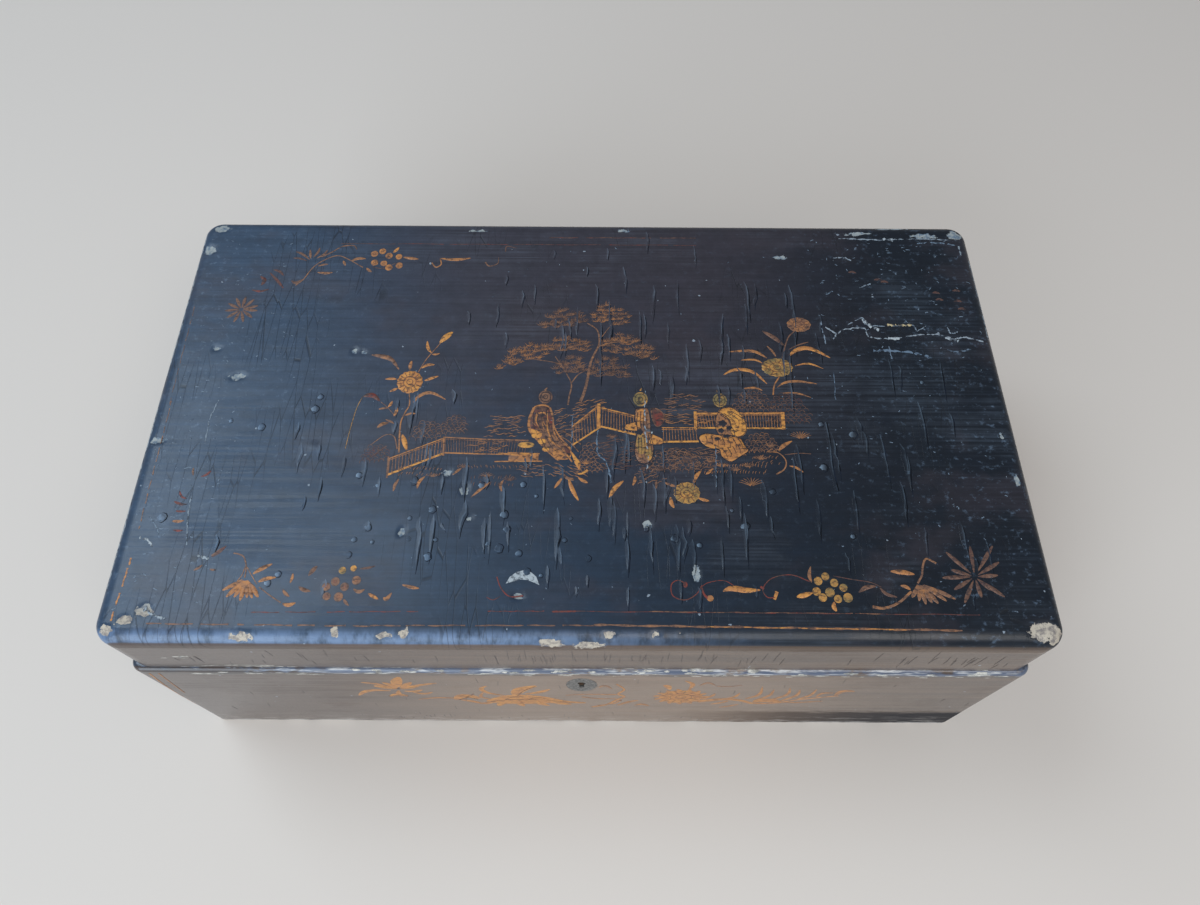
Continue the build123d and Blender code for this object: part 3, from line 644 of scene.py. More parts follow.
crackle_fields = (
    (46, (-75, -78), (75, -22), 19, 21), (40, (-20, 5), (130, 70), 20, 22),
    (20, (-140, -60), (-50, 10), 14, 23), (28, (60, -80), (190, 40), 22, 24),
    (14, (-60, 40), (60, 112), 14, 25), (16, (-190, -105), (190, -60), 10, 26),
)
lips, gaps = [], []
for count, low, high, length, seed in crackle_fields:
    dice = np.random.default_rng(seed + 100)
    lines = crackle_lines(count, low, high, 1.2 * length, seed)
    taper = np.array([0.1, 0.35, 0.6, 0.85, 1, 0.8, 0.2])
    widths = dice.uniform(1.4, 3.4, (count, 1)) * taper
    lips.append(lip(lines, widths))
    # Beside each lip's steep right side a near-black stroke: the crack, and the lip's shade painted in.
    beside = np.zeros_like(lines)
    beside[..., 0] = 0.5 * widths + 0.2 + dice.normal(0, 0.06, widths.shape)
    beside[..., 1] = -0.3 * (lines[:, -1:, 1] - lines[..., 1])
    gap_widths = dice.uniform(0.25, 0.8, (count, 1)) + dice.normal(0, 0.1, widths.shape)
    gap_taper = np.array([0.1, 0.6, 1, 0.85, 1, 0.7, 0.1])
    gaps.append((*strokes(lines + beside, np.clip(gap_widths, 0.15, 1.0) * gap_taper, lift=0.03), 0.0))
long_lip = along([(118.2, -45), (117.2, -32), (117.6, -20), (117, -8)])
lips.append(lip(long_lip, 1.8))
gaps.append((*strokes(long_lip + (1.1, 0), 0.7, lift=0.03), 0))


def blister(middle, size, dice):
    """A small broken blister: a knobby lump, painted pale as if lit and most on its left, and a dark stroke
    round its right side that is both its crack and its painted shadow.
    """
    angle = np.linspace(0, 2 * pi, 12, endpoint=False)
    rim = np.stack([np.cos(angle), 0.9 * np.sin(angle)], -1) * size * dice.uniform(0.6, 1.15, (12, 1))
    turn = np.linspace(-1.9, 1.9, 8)
    crack = np.stack([np.cos(turn), np.sin(turn)], -1) * size * dice.uniform(1.1, 1.35, (8, 1))
    points, faces, _ = pad(rim + middle, 0.0, 0.12)
    # Painted highlight: the lump's value is highest on its left, so its colour is paled most there.
    lump = (points, faces, np.clip(1.0 - 0.3 * (points[:, 0] - middle[0]) / size, 0, 1.22))
    return lump, (*strokes(crack + middle, size * 0.38 * np.sin(np.linspace(0.3, 2.9, 8)), lift=0.03), 0)


for count, low, high, seed in ((22, (-105, -88), (-15, -38), 27), (7, (-195, -95), (-120, 10), 28),
                               (9, (-10, -80), (90, -40), 29), (6, (90, -80), (190, 30), 30)):
    dice = np.random.default_rng(seed)
    for middle in dice.uniform(low, high, (count, 2)):
        lump, crack = blister(middle, dice.uniform(0.8, 2), dice)
        lips.append(lump)
        gaps.append(crack)

lip_lacquer = lacquer("lip_lacquer", crazing=0.3, floor_reflection=0.0)
tree = lip_lacquer.node_tree
shader = tree.nodes["Principled BSDF"]
skin = shader.inputs["Base Color"].links[0].from_socket
spot = place_in(tree)
patchy = ramp(tree, grain(tree, spot, (160, 70, 70), 4, 0.65), 0.34, 0.6)
# Painted highlight: the lips are paled towards their raised edge, the blisters all over and most on their
# left.
highlight_share = carried(tree, "highlight_share")
lip_highlight = times(tree, calc(tree, "POWER", highlight_share, 5.0), patchy)
highlit_skin = shaded(tree, skin, plus(tree, 1.0, lip_highlight))
highlight_whitening = times(tree, lip_highlight, 0.3, True)
tree.links.new(blend(tree, highlight_whitening, highlit_skin, colour(124, 144, 160)), shader.inputs["Base Color"])
lay("lid_crackle_lips", lips, on_lid, lip_lacquer, "lid", "highlight_share", lip_sharpness)

# Near-black for the cracks beside the lips and blisters, which also stand as their painted shade.
gap_and_shadow_lacquer, tree, shader = new_material("gap_and_shadow_lacquer")
spot = place_in(tree)
gap_unevenness = ramp(tree, grain(tree, spot, (300, 120, 120), 3, 0.6), 0.4, 0.65)
gap_colour = blend(tree, gap_unevenness, crack_black, colour(24, 32, 46))
tree.links.new(gap_colour, shader.inputs["Base Color"])
shader.inputs["Roughness"].default_value = 0.7
shader.inputs["Specular IOR Level"].default_value = 0.15
lay("lid_crackle_gaps_and_shadows", gaps, on_lid, gap_and_shadow_lacquer, "lid")


# Painted gold on the lid. Gold powder was brushed over red size while it was tacky: bright where it lies
# thick, tan or red where it has rubbed through. First the old pine, its needles drawn in hundreds of fans.
def worn_gold(name, wear=0.7, mottling=0.4, reflection_veil=0.0, patch_scale=260):
    """Gold paint whose colour follows the stroke's tone: red size, brown, tan, ochre, bright, olive. It is
    rubbed through to the lacquer in fine specks and along the brush lines; where asked, a warm grey cast over
    it is a painted reflection of the floor."""
    material, tree, shader = new_material(name)
    spot = place_in(tree)
    tone = carried(tree, "tone")
    patchy = grain(tree, spot, (patch_scale, patch_scale, patch_scale), 4, 0.65)
    tone = plus(tree, tone, times(tree, calc(tree, "SUBTRACT", patchy, 0.5), mottling))
    stops = (
        (0, (126, 54, 44)), (0.15, (88, 64, 58)), (0.35, (132, 96, 74)),
        (0.55, (182, 122, 70)), (0.75, (216, 152, 72)), (1, (124, 108, 70)),
    )
    scale = put(tree, "ShaderNodeValToRGB", {0: tone})
    scale.color_ramp.elements[0].position = stops[0][0]
    scale.color_ramp.elements[0].color = colour(*stops[0][1])
    scale.color_ramp.elements[1].position = stops[-1][0]
    scale.color_ramp.elements[1].color = colour(*stops[-1][1])
    for place, seen in stops[1:-1]:
        scale.color_ramp.elements.new(place).color = colour(*seen)
    rubbed = ramp(tree, grain(tree, spot, (380, 640, 640), 4, 0.7), 0.48, 0.62)
    gold = blend(tree, times(tree, rubbed, wear), scale.outputs[0], colour(38, 36, 42))
    # Painted reflection: where a veil share is given, the gold is greyed warm as if the floor shone on it.
    gold = blend(tree, reflection_veil, gold, colour(172, 148, 128))
    bump = put(tree, "ShaderNodeBump", {"Height": patchy, "Strength": 0.4, "Distance": 0.1 * mm})
    tree.links.new(gold, shader.inputs["Base Color"])
    tree.links.new(bump.outputs[0], shader.inputs["Normal"])
    shader.inputs["Metallic"].default_value = 0.2
    shader.inputs["Roughness"].default_value = 0.5
    return material


gold_paint = worn_gold("gold_paint", mottling=0.6)


def gild(name, marks, place=on_lid, body="lid", gold=gold_paint):
    """Lay a group of gold marks on the box as one piece."""
    return lay(name, marks, place, gold, body)


def line(points, width, tone=0.5, start=1.0, end=1.0, lift=0.1):
    """One brush line through a few points, its width running from start to end times the width given."""
    path = along(points)
    return (*strokes(path, width * np.linspace(start, end, len(path)), lift), tone)


def leaf(points, width, tone=0.55, fullest=0.5, lift=0.1):
    """A leaf from foot to tip: half a sine wave across, its widest place moved by a power of the run."""
    path = along(points, 5)
    run = np.linspace(0, 1, len(path)) ** (np.log(0.5) / np.log(fullest))
    return (*strokes(path, width * np.sin(pi * run) ** 0.85, lift), tone)


def needle_fans(roots, needles, length, tone, dice, spread):
    """Fans of fine needles: from each root they point upwards, spread evenly, bent and cut at random."""
    count = len(roots)
    angle = pi / 2 + np.linspace(-spread / 2, spread / 2, needles) + dice.normal(0, 0.12, (count, needles))
    reach = length * dice.uniform(0.65, 1.1, (count, needles))
    way = np.stack([np.cos(angle), np.sin(angle)], -1) * reach[..., None]
    curl = np.stack([-way[..., 1], way[..., 0]], -1) * 0.12
    start = np.broadcast_to(roots[:, None], way.shape)
    lines = np.stack([start + 0.08 * way, start + 0.55 * way + curl, start + way], 2).reshape(-1, 3, 2)
    return (*strokes(lines, np.array([0.2, 0.3, 0.1]), lift=0.08), tone + 0.08)


def needle_cloud(middle, half_width, height, tone, dice, lean=0.0):
    """A flat-bottomed pad of pine: fans on staggered rows under a half-oval, each nudged at random."""
    step_across, step_up = 2.9, 2.6
    across, up = np.meshgrid(np.arange(-half_width, half_width, step_across), np.arange(0.3, height, step_up))
    across = across + (np.arange(len(up)) % 2)[:, None] * step_across / 2 + dice.normal(0, 0.7, across.shape)
    up = up + dice.normal(0, 0.7, up.shape)
    inside = (across / half_width) ** 2 + (up / height) ** 2 < 1
    across, up = across[inside], up[inside]
    roots = np.stack([middle[0] + across, middle[1] + up + lean * across / half_width], -1)
    return needle_fans(roots, 7, 3.2, tone, dice, 2.3)


dice = np.random.default_rng(31)
pine_clouds = (
    ((13.5, 50.5), 10, 11.5, 0.34, 0), ((-11, 48), 11.5, 10.5, 0.26, 0.5),
    ((22.5, 30.5), 13.5, 13, 0.32, -3), ((-8.5, 33), 11.5, 8.5, 0.33, -0.5),
    ((-31, 26), 12.5, 9.5, 0.36, 5), ((-6, 19.5), 9, 9.5, 0.27, 0),
    ((13, 17), 10, 11, 0.24, -1),
)
pine = [needle_cloud(middle, half, height, tone, dice, lean)
        for middle, half, height, tone, lean in pine_clouds]
pine_trunk = [
    (-1.5, 3), (0.5, 9), (2, 17), (3.2, 25.5), (5.5, 32), (7.5, 37), (7.5, 42.5), (6, 47), (1.5, 50.5),
]
second_trunk = [(-7.5, 1), (-7, 6), (-6, 13), (-8.5, 19), (-11.5, 24.5), (-14.5, 29.5)]
pine += [
    line(pine_trunk, 1.9, 0.36, 1, 0.35), line([(7.5, 36), (12.5, 38), (18, 39)], 0.9, 0.4, 1, 0.4),
    line(second_trunk, 1.1, 0.3, 1, 0.4), line([(-6, 14), (-2.5, 19), (2.6, 22)], 0.8, 0.33, 1, 0.6),
    line([(9, 42), (11.5, 46), (14, 50)], 0.5, 0.34), line([(13, 38), (19, 34.5), (25, 33)], 0.45, 0.34),
    line([(-8.5, 19.5), (-5, 22), (-2, 23)], 0.4, 0.3),
    line([(-12, 25.5), (-20, 27), (-28, 28.5)], 0.45, 0.3),
]
gild("lid_gold_pine", pine)


# The garden fence: zigzag panels between posts, each with a top rail, a foot rail and close upright bars.
# It is painted in the same gold, bar by bar, in fine strokes that stand a little proud of the lacquer.
def fence_panel(foot, top, bars, foot_width, top_width, tone):
    """A slanting panel between two rails: the bars share out the length between them."""
    share = (np.arange(bars) + 0.5)[:, None] / bars
    foot, top = np.array(foot, float), np.array(top, float)
    low = foot[0] + (foot[1] - foot[0]) * share
    high = top[0] + (top[1] - top[0]) * share
    uprights = np.stack([low, (low + high) / 2, high], 1)
    return [line(foot, foot_width, tone + 0.12), line(top, top_width, tone),
            line(top - (0, 1), 0.3, tone - 0.1),
            (*strokes(uprights, np.array([0.34, 0.3, 0.34]), 0.07), tone - 0.12)]


fence = []
for foot, top, bars, foot_width, top_width, tone in (
    (((-91.5, -38), (-66.5, -26.5)), ((-92, -29.5), (-66.5, -18)), 17, 1.2, 0.6, 0.55),
    (((-65.5, -26), (-46.5, -26.5)), ((-66.5, -17.5), (-46.5, -18.5)), 15, 0.8, 0.7, 0.42),
    (((-46.5, -26.5), (-27, -27)), ((-46.5, -18.5), (-26, -19)), 15, 0.5, 0.7, 0.38),
    (((-5, -21.5), (7.5, -12)), ((-5.5, -11.5), (6.5, 0)), 9, 1, 0.8, 0.58),
    (((8.5, -11), (25.5, -15.5)), ((9, -0.5), (25, -5)), 12, 1.1, 0.8, 0.6),
    (((38, -19.3), (55.5, -19)), ((38, -11.5), (55, -11.5)), 12, 1.1, 0.5, 0.62),
    (((55.5, -11.5), (96, -11.5)), ((54.5, -3.5), (96.5, -3)), 30, 1, 1.2, 0.6),
):
    fence += fence_panel(foot, top, bars, foot_width, top_width, tone)
for post, width, tone in (
    (((-66.5, -17), (-66, -27.5)), 1.1, 0.4), (((-91.8, -28), (-91.3, -39.5)), 1, 0.34),
    (((7.6, 1.8), (7.6, -12.2)), 2, 0.62), (((54.6, -2.4), (54.4, -12.2)), 1.8, 0.66),
    (((97.2, -2.4), (96.8, -12.2)), 2.2, 0.66),
):
    fence.append(line(post, width, tone))
gild("lid_gold_fence", fence)


# Three robed figures in the garden: flat silhouettes of gold, with the heads left as plain pale discs and
# the folds drawn over the gold in black lacquer.
def ring_round(points, steps=6):
    """An outline through a few points, run anticlockwise: smooth, but for the straight span from the last
    point back to the first."""
    points = np.asarray(points, float)
    doubled = np.concatenate([points[-2:], points, points[:3]])
    loop = along(doubled, steps)[2 * steps:-3 * steps]
    area = np.sum(loop[:, 0] * np.roll(loop[:, 1], -1) - loop[:, 1] * np.roll(loop[:, 0], -1))
    return loop if area > 0 else loop[::-1]


def oval(middle, half_width, half_height, petals=0, depth=0.0, count=36):
    """An oval outline, its edge scalloped into petals."""
    angle = np.linspace(0, 2 * pi, count, endpoint=False)
    swing = 1 + depth * np.abs(np.cos(petals * angle / 2)) if petals else 1
    rim = np.stack([half_width * np.cos(angle), half_height * np.sin(angle)], -1)
    return np.array(middle) + rim * np.array(swing)[..., None]


left_robe = [(-23.5, 0), (-26, -6.5), (-25, -13.5), (-21.5, -19), (-17, -24.5), (-12.5, -28.5), (-6.5, -28.5),
             (-6, -23.5), (-11, -17), (-14, -11), (-15.2, -4.5), (-17, 0), (-20, 1.2)]
middle_robe = [(26, -0.5), (25, -6.5), (26.2, -12), (25.5, -18), (24.6, -24.5), (26.5, -30.5), (31.5, -30.5),
               (33.8, -24), (32.8, -17), (32.6, -10.5), (32.2, -4), (31, -0.3)]
middle_sleeve = [(28, -8), (24, -8.8), (20.8, -10), (20.2, -12.4), (24, -13.4), (28, -12.8)]
middle_skirt = [(31.5, -15), (35, -16), (38.2, -18), (38, -20.4), (34.5, -21), (31.5, -20)]
middle_wrap = [(33, -1), (36.5, -1.2), (39.2, -4.5), (38.6, -9), (35.5, -10.8), (33.4, -6)]
right_arm = [
    (66, -2), (71, 0), (75.8, -2.8), (78.8, -9.5), (77.8, -14.5), (73.4, -16.8), (71, -13), (71.4, -8),
    (69, -4.8),
]
right_chest = [(66, -3), (64.2, -7.5), (64.6, -14), (69, -17.2), (73, -15), (71, -9), (69.5, -5)]
right_skirt = [
    (65.5, -15.5), (59, -14.6), (55.6, -16.8), (57.5, -20.8), (61.5, -23), (65, -23.4), (66, -27.2),
    (70, -30), (74.5, -27.4), (79, -24), (77.4, -21), (75.5, -17.2), (70.5, -15.6),
]
left_lap = [
    (-23, -12), (-24, -16.5), (-19, -22.5), (-14.5, -26.5), (-8, -27.5), (-8.5, -23.5), (-13, -17.5),
    (-18, -12.5),
]


def contour(outline, width, tone, lift=0.13):
    """A brush line all round an outline."""
    loop = ring_round(outline)
    return (*strokes(np.concatenate([loop, loop[:2]]), width, lift), tone)


left_seat = [(-25.5, -12.8), (-22.5, -13.4), (-19.6, -15.3), (-20.6, -17.7), (-24.5, -17.1)]
left_knee = [(-14.2, -23.2), (-10.8, -24.4), (-8.8, -26.9), (-11.3, -29.9), (-14.2, -27.5)]
left_shin = [(-5.9, -24.4), (-2.9, -28.1), (-1, -31.1), (-1.5, -34.8), (-3.9, -30.5)]
bench = [(-35, -26.4), (-20.6, -26.8), (-20.8, -30.6), (-35.4, -30.4)]
figures = [
    pad(ring_round(left_robe), 0.12, 0.05), pad(ring_round(left_lap), 0.36, 0.06),
    contour(left_robe, 0.8, 0.46), pad(ring_round(left_seat), 0.68, 0.12),
    pad(ring_round(left_knee), 0.5, 0.12), pad(ring_round(left_shin), 0.62, 0.12),
    pad(np.array(bench), 0.44, 0.06), pad(oval((-27, -21.4), 4, 1.7), 0.86),
    pad(oval((-19.6, -19.5), 1.9, 1.6), 0.74, 0.13), pad(oval((-17.6, -23.8), 1.7, 1.3), 0.7, 0.13),
    line([(-24, -0.6), (-26, -6.7), (-26, -12.2), (-24, -15.9)], 1.5, 0.5, lift=0.13),
    line([(-23, 0.4), (-19.6, 0.8), (-16.7, 0)], 0.9, 0.5, lift=0.13),
    line([(-22.1, -3.7), (-18.6, -3.7), (-17.4, -6.7), (-17.2, -12.2), (-15.7, -17.1)], 0.9, 0.56, lift=0.13),
    line([(-16.2, -0.6), (-14.7, -5.5), (-14.2, -12.2), (-12.7, -17.1), (-8.8, -22)], 1, 0.44, lift=0.13),
    line([(-22.3, -4.5), (-22.8, -8.5), (-21, -12)], 0.7, 0.5, lift=0.13),
    line([(-19.6, -5.5), (-19.6, -9.5), (-18.6, -13.5)], 0.6, 0.4, lift=0.13),
    line([(-12.7, -18.3), (-9, -20.5), (-5.9, -23.2)], 1.1, 0.5, lift=0.13),
    line([(-10.8, -22), (-8, -26), (-4.9, -30.5)], 0.9, 0.46, lift=0.13),
    line([(-9.8, -36.6), (-6.9, -39.1), (-3.9, -39.7)], 1.7, 0.36),
    line([(-2, -36.9), (0.2, -36.4), (2.5, -34.8)], 1.5, 0.64, 0.6, 1),
    line([(-16.5, -17), (-14.5, -20), (-11, -22.5)], 1.2, 0.58, lift=0.13),
    line([(-35.6, -25.8), (-20.4, -26.2)], 0.6, 0.62, lift=0.13), pad(ring_round(middle_robe), 0.36, 0.08),
    pad(ring_round(middle_sleeve), 0.68, 0.12), pad(ring_round(middle_skirt), 0.62),
    pad(ring_round(middle_wrap), 0.14, 0.06), contour(middle_wrap, 0.5, 0.34),
    pad(oval((28.2, -5), 2.6, 4), 0.6, 0.12), pad(oval((28, -20.5), 2.6, 6), 0.92, 0.12),
    pad(oval((31.5, -26), 1.8, 3.6), 0.9, 0.12), pad(ring_round(right_chest), 0.4, 0.08),
    pad(ring_round(right_skirt), 0.58), pad(ring_round(right_arm), 0.74, 0.12),
    contour(right_arm, 0.6, 0.78, 0.15), pad(oval((-18.6, 5.6), 3.5, 3.9), 0.26, 0.06),
    pad(oval((28, 4.6), 3.7, 4.2), 0.95), pad(oval((67, 4.2), 3.6, 4.1), 0.97),
    pad(oval((60.6, -19.4), 2, 2), 0.48, 0.13), line([(28, 9.5), (28.6, 11)], 1.2, 0.9, 1, 0.4),
    line([(66.5, 8.6), (65.6, 10)], 1.2, 0.9, 1, 0.4), line([(-19, 9.4), (-18, 11)], 1.4, 0.3, 1, 0.5),
]
figures += [line(points, 0.42, 0.44) for points in (
    [(-22.5, -3), (-23, -8), (-20.5, -13)], [(-20, -2), (-19.5, -8), (-17, -12.5)],
    [(-17.5, -2.5), (-17, -7.5), (-15.5, -11.5)], [(-24.5, -9), (-21.5, -12), (-17, -14.5)],
    [(-12, -16), (-6.5, -19.5), (-2, -25)], [(-10, -13.5), (-4.5, -17.5), (-1, -21)],
)]
figure_gold = worn_gold("figure_gold", wear=0.85, mottling=0.75, patch_scale=190)
gild("lid_gold_figures", figures, gold=figure_gold)


fold_lift = 0.155            # the ink of the folds lies over all the gold


def folds(start, end, count, bow, reach):
    """Fold lines between two edges of a robe: each bows sideways by the same amount."""
    share = np.linspace(0, 1, count)[:, None]
    first = np.array(start[0]) + (np.array(start[1]) - np.array(start[0])) * share
    last = np.array(end[0]) + (np.array(end[1]) - np.array(end[0])) * share
    middle = first + (last - first) * 0.5 + bow
    return [line([a, b, a + (c - a) * reach], 0.5, 0.0, 1.0, 0.3, fold_lift)
            for a, b, c in zip(first, middle, last)]


fold_lines = []
for start, end, count, bow, reach in (
    (((-24, -3), (-18, -2)), ((-21, -18), (-14, -14)), 4, (-1.4, 0), 0.9),
    (((-20, -18), (-14, -13)), ((-13, -28), (-6.5, -24.5)), 4, (-0.6, -0.8), 0.95),
    (((26.6, -3), (31, -3)), ((26.4, -15), (31.6, -15)), 4, (-0.5, 0), 0.8),
    (((26.6, -17), (32, -17)), ((26, -29), (32.6, -28)), 5, (0.4, 0), 0.9),
    (((66.5, -4), (72, -2)), ((71.5, -15), (77.5, -13)), 4, (2.4, 1.2), 0.9),
    (((59, -16), (74.5, -17.5)), ((59, -21), (76.5, -24)), 7, (0.5, 0), 0.9),
    (((66.5, -23), (74, -21)), ((69, -28.5), (75, -26)), 4, (0.4, 0), 0.9),
):
    fold_lines += folds(start, end, count, np.array(bow), reach)
for robe in (middle_robe, middle_sleeve, middle_skirt, right_arm, right_chest, right_skirt):
    fold_lines.append(contour(robe, 0.42, 0.0, fold_lift))
for middle, half_width, half_height in (
    ((28, 4.6), 3.7, 4.2), ((67, 4.2), 3.6, 4.1), ((-18.6, 5.6), 3.5, 3.9),
):
    for share in (0.3, 0.72):
        head_ring = oval(middle, half_width * share, half_height * share, count=12)
        fold_lines.append(contour(head_ring, 0.36, 0.0, fold_lift))
for middle, half_width, half_height in (
    ((67.5, -9), 1.8, 1.5), ((70.5, -11.5), 1.3, 1), ((66.5, -13), 1.2, 1.2),
    ((64.5, -17.5), 1.3, 0.7), ((69, -16), 1.6, 0.8), ((27.4, -14), 1.2, 1.6),
):
    fold_lines.append(pad(oval(middle, half_width, half_height, 5, 0.3, 20), 0.0, fold_lift))
ink = lacquer("fold_ink", fading_and_sheen=0.3, bloom=0.3, crazing=0.0, floor_reflection=0.0)
lay("lid_fold_lines", fold_lines, on_lid, ink, "lid")


# Two flowering plants, one at each end of the garden: an open flower of rings over long arching leaves.
# They are gold paint too, each leaf one stroke of a full brush, with thin stems drawn between them.
def flower(middle, half_width, half_height, tone, petals=15):
    """An open flower: a scalloped disc, with rings and short rays over it."""
    angle = np.linspace(0, 2 * pi, petals, endpoint=False)
    way = np.stack([np.cos(angle) * half_width, np.sin(angle) * half_height], -1)
    rays = np.stack([np.array(middle) + way * share for share in (0.55, 0.75, 0.95)], 1)
    dark = min(tone, 0.14)
    rings = [(*strokes(np.concatenate([o, o[:1]]), 0.4, 0.15), dark)
             for o in (oval(middle, half_width * s, half_height * s) for s in (0.24, 0.5))]
    return [pad(oval(middle, half_width, half_height, petals, 0.07, 60), tone),
            (*strokes(rays, np.array([0.3, 0.42, 0.3]), 0.15), dark), *rings]


plants = flower((-86.2, 13.8), 6.2, 6.4, 0.6) + flower((97, 23.8), 7.6, 5.4, 0.92)
plants += flower((110.6, 50.4), 6, 4.4, 0.4, 11)
left_leaves = (
    ([(-91.5, 20), (-97, 27.2), (-102.5, 29.2), (-108, 30)], 3, 0.34),
    ([(-87, 20.5), (-87, 23.5), (-86.5, 26.8)], 2.2, 0.5),
    ([(-81.5, 21.8), (-78.5, 24), (-74.4, 24.2)], 1.9, 0.56),
    ([(-79.4, 14.4), (-76, 16), (-71.8, 17.6)], 1.9, 0.56),
    ([(-92.6, 15.4), (-95.5, 15.7), (-99, 15.4)], 1.7, 0.5),
    ([(-91.5, 10.4), (-93.5, 9.2), (-95.8, 8)], 1.7, 0.5),
    ([(-73.8, 37.2), (-70.6, 41.4), (-67, 44.8)], 3.8, 0.7),
    ([(-77, 31), (-79.2, 34.5), (-80, 39.2)], 2, 0.58), ([(-77, 30.6), (-75, 30.5), (-72.6, 31.2)], 1.3, 0.5),
    ([(-84, -0.5), (-81, 5.4), (-75, 7.6), (-66.3, 3)], 2.2, 0.45),
    ([(-99, 2), (-104, 6), (-108.8, 5)], 3.2, 0.12), ([(-92, -6.2), (-91, -3.5), (-90.5, -0.8)], 1.9, 0.52),
    ([(-87, -5.6), (-84, -4.5), (-81.2, -4.4)], 1.5, 0.48),
    ([(-95, -1.2), (-97, -1.4), (-100, -2.2)], 1.3, 0.46),
    ([(-95.4, -1), (-94.2, 0.8), (-93.4, 3)], 1.7, 0.5),
    ([(-83.4, -25.4), (-85.2, -20), (-86.8, -15.6)], 2.9, 0.64),
    ([(-93.5, -9.5), (-97, -10.5), (-99.5, -13)], 2.2, 0.44),
    ([(-91, -10.5), (-93, -9), (-96, -7.6)], 1.3, 0.4),
    ([(-87.6, -46.8), (-87, -43), (-85.4, -39.6)], 1.8, 0.44),
    ([(-76.6, -45.4), (-76, -41.5), (-73.2, -38.2)], 1.9, 0.46),
)
right_leaves = (
    ([(102.5, 36.5), (96.8, 42.2), (90.6, 46.8)], 2.8, 0.26),
    ([(103, 34.2), (109, 37.6), (115.2, 39.8)], 0.9, 0.3), ([(93.2, 28.8), (85.5, 33.6), (71.8, 33)], 2, 0.5),
    ([(90.2, 26), (86, 28.4), (78.2, 28)], 1.3, 0.56),
    ([(97.2, 29.8), (95.5, 33.5), (92.6, 37.4)], 1.4, 0.42),
    ([(102.2, 29.2), (107.6, 34.4), (115, 35.4), (126, 28.8)], 2.9, 0.6),
    ([(105, 24.6), (113, 26.2), (121, 22.8)], 1.2, 0.62),
    ([(92.4, 12.4), (84.5, 21), (75.5, 22.2), (68.6, 18.4)], 2.3, 0.58),
    ([(88.8, 9.8), (85, 11.6), (78.6, 11.2)], 1.4, 0.5),
    ([(95, 11.4), (100.5, 15), (108, 15.4), (117.5, 13.8)], 1.7, 0.46),
    ([(97.4, 8.6), (105, 8.6), (113, 5.8)], 1.1, 0.44),
)
plants += [leaf(points, width, tone) for points, width, tone in left_leaves + right_leaves]
plants += [
    line([(-82.6, 19.6), (-80, 26), (-77.5, 30.5), (-74, 36), (-72.8, 38.4)], 0.5, 0.42),
    line([(-85.8, 7.4), (-85, 0.5), (-86.5, -3.5), (-88, -8.5), (-88, -14.5), (-87.2, -26)], 0.8,
         0.44, 0.8, 1.3),
    line([(-99, 2), (-95.5, -1), (-92, -5)], 0.4, 0.3),
    line([(-101, -22), (-95, -16.6), (-90.5, -17.2), (-88.2, -24)], 0.8, 0.34, 0.4, 1),
    line([(-101.5, -29.5), (-98.5, -27), (-93.5, -22.5)], 1, 0.16, 0.4, 0.8),
    line([(-108.4, 5), (-110.5, -2), (-112, -14), (-112.8, -24)], 0.35, 0.9),
    line([(93.5, 7.5), (94.6, 13), (97.6, 18.4)], 0.9, 0.5),
    line([(100, 29), (102, 36), (104.5, 42.5), (108, 46.4)], 0.8, 0.3),
]
gild("lid_gold_plants", plants)


# Ground behind and below the fence: bushes of curled scales, hatched hills, grass tufts and ripples, all
# drawn with the finest brush and worn to brown.
def scale_bush(middle, half_width, height, radius, tone, dice):
    """A dome of overlapping curls: small arcs on staggered rows, each nudged at random."""
    rows = np.arange(0, height, radius * 1.1)
    marks = []
    for number, row in enumerate(rows):
        reach = half_width * np.sqrt(1 - (row / height) ** 2)
        starts = np.arange(-reach, reach, radius * 2.0) + (number % 2) * radius
        centres = np.stack([middle[0] + starts, np.full(len(starts), middle[1] + row)], -1)
        centres = centres + dice.normal(0, 0.25, (len(starts), 2))
        angle = np.linspace(0.0, pi * 1.15, 7)
        arcs = centres[:, None] + radius * np.stack([np.cos(angle), np.sin(angle)], -1)
        if len(arcs):
            marks.append((*strokes(arcs, 0.3, 0.07), tone))
    return marks


def ripples(low, high, length, tone, dice, rise=0.0, width=0.42, step=1.0):
    """Loose wavy strokes laid along the box in rows a step apart within a rectangle: each row is shared
    out between strokes of about one length, whose waves and starts are random."""
    run = np.linspace(-0.5, 0.5, 9)
    across, up = np.meshgrid(np.arange(low[0], high[0], 1.2 * length), np.arange(low[1], high[1], step))
    middle = np.stack([across.ravel() + length / 2, up.ravel()], -1)[:, None]
    count = len(middle)
    middle = middle + dice.normal(0, (0.25 * length, 0.2 * step), (count, 1, 2))
    reach = length * dice.uniform(0.5, 1.1, (count, 1))
    swing = 0.3 * np.sin(2 * pi * (run * dice.uniform(0.8, 1.8, (count, 1)) + dice.random((count, 1))))
    lines = middle + np.stack([run * reach, swing + rise * run * reach], -1)
    taper = np.array([0.2, 0.8, 1, 1, 1, 1, 1, 0.8, 0.2])
    return (*strokes(lines, width * taper, 0.07), tone)


def comb(low, high, step, row_step, length, lean, tone, dice, width=0.38):
    """Short curved strokes side by side, in rows: each runs up and bends over to one side."""
    across, up = np.meshgrid(np.arange(low[0], high[0], step), np.arange(low[1], high[1], row_step))
    foot = np.stack([across.ravel(), up.ravel()], -1)[:, None]
    foot = foot + dice.normal(0, 0.2 * step, (across.size, 1, 2))
    run = np.linspace(0, 1, 5)
    reach = length * dice.uniform(0.7, 1.1, (across.size, 1))
    lines = foot + np.stack([lean * reach * run**2, reach * (run - 0.35 * run**2)], -1)
    return (*strokes(lines, width * np.array([0.6, 1, 1, 0.8, 0.3]), 0.08), tone)


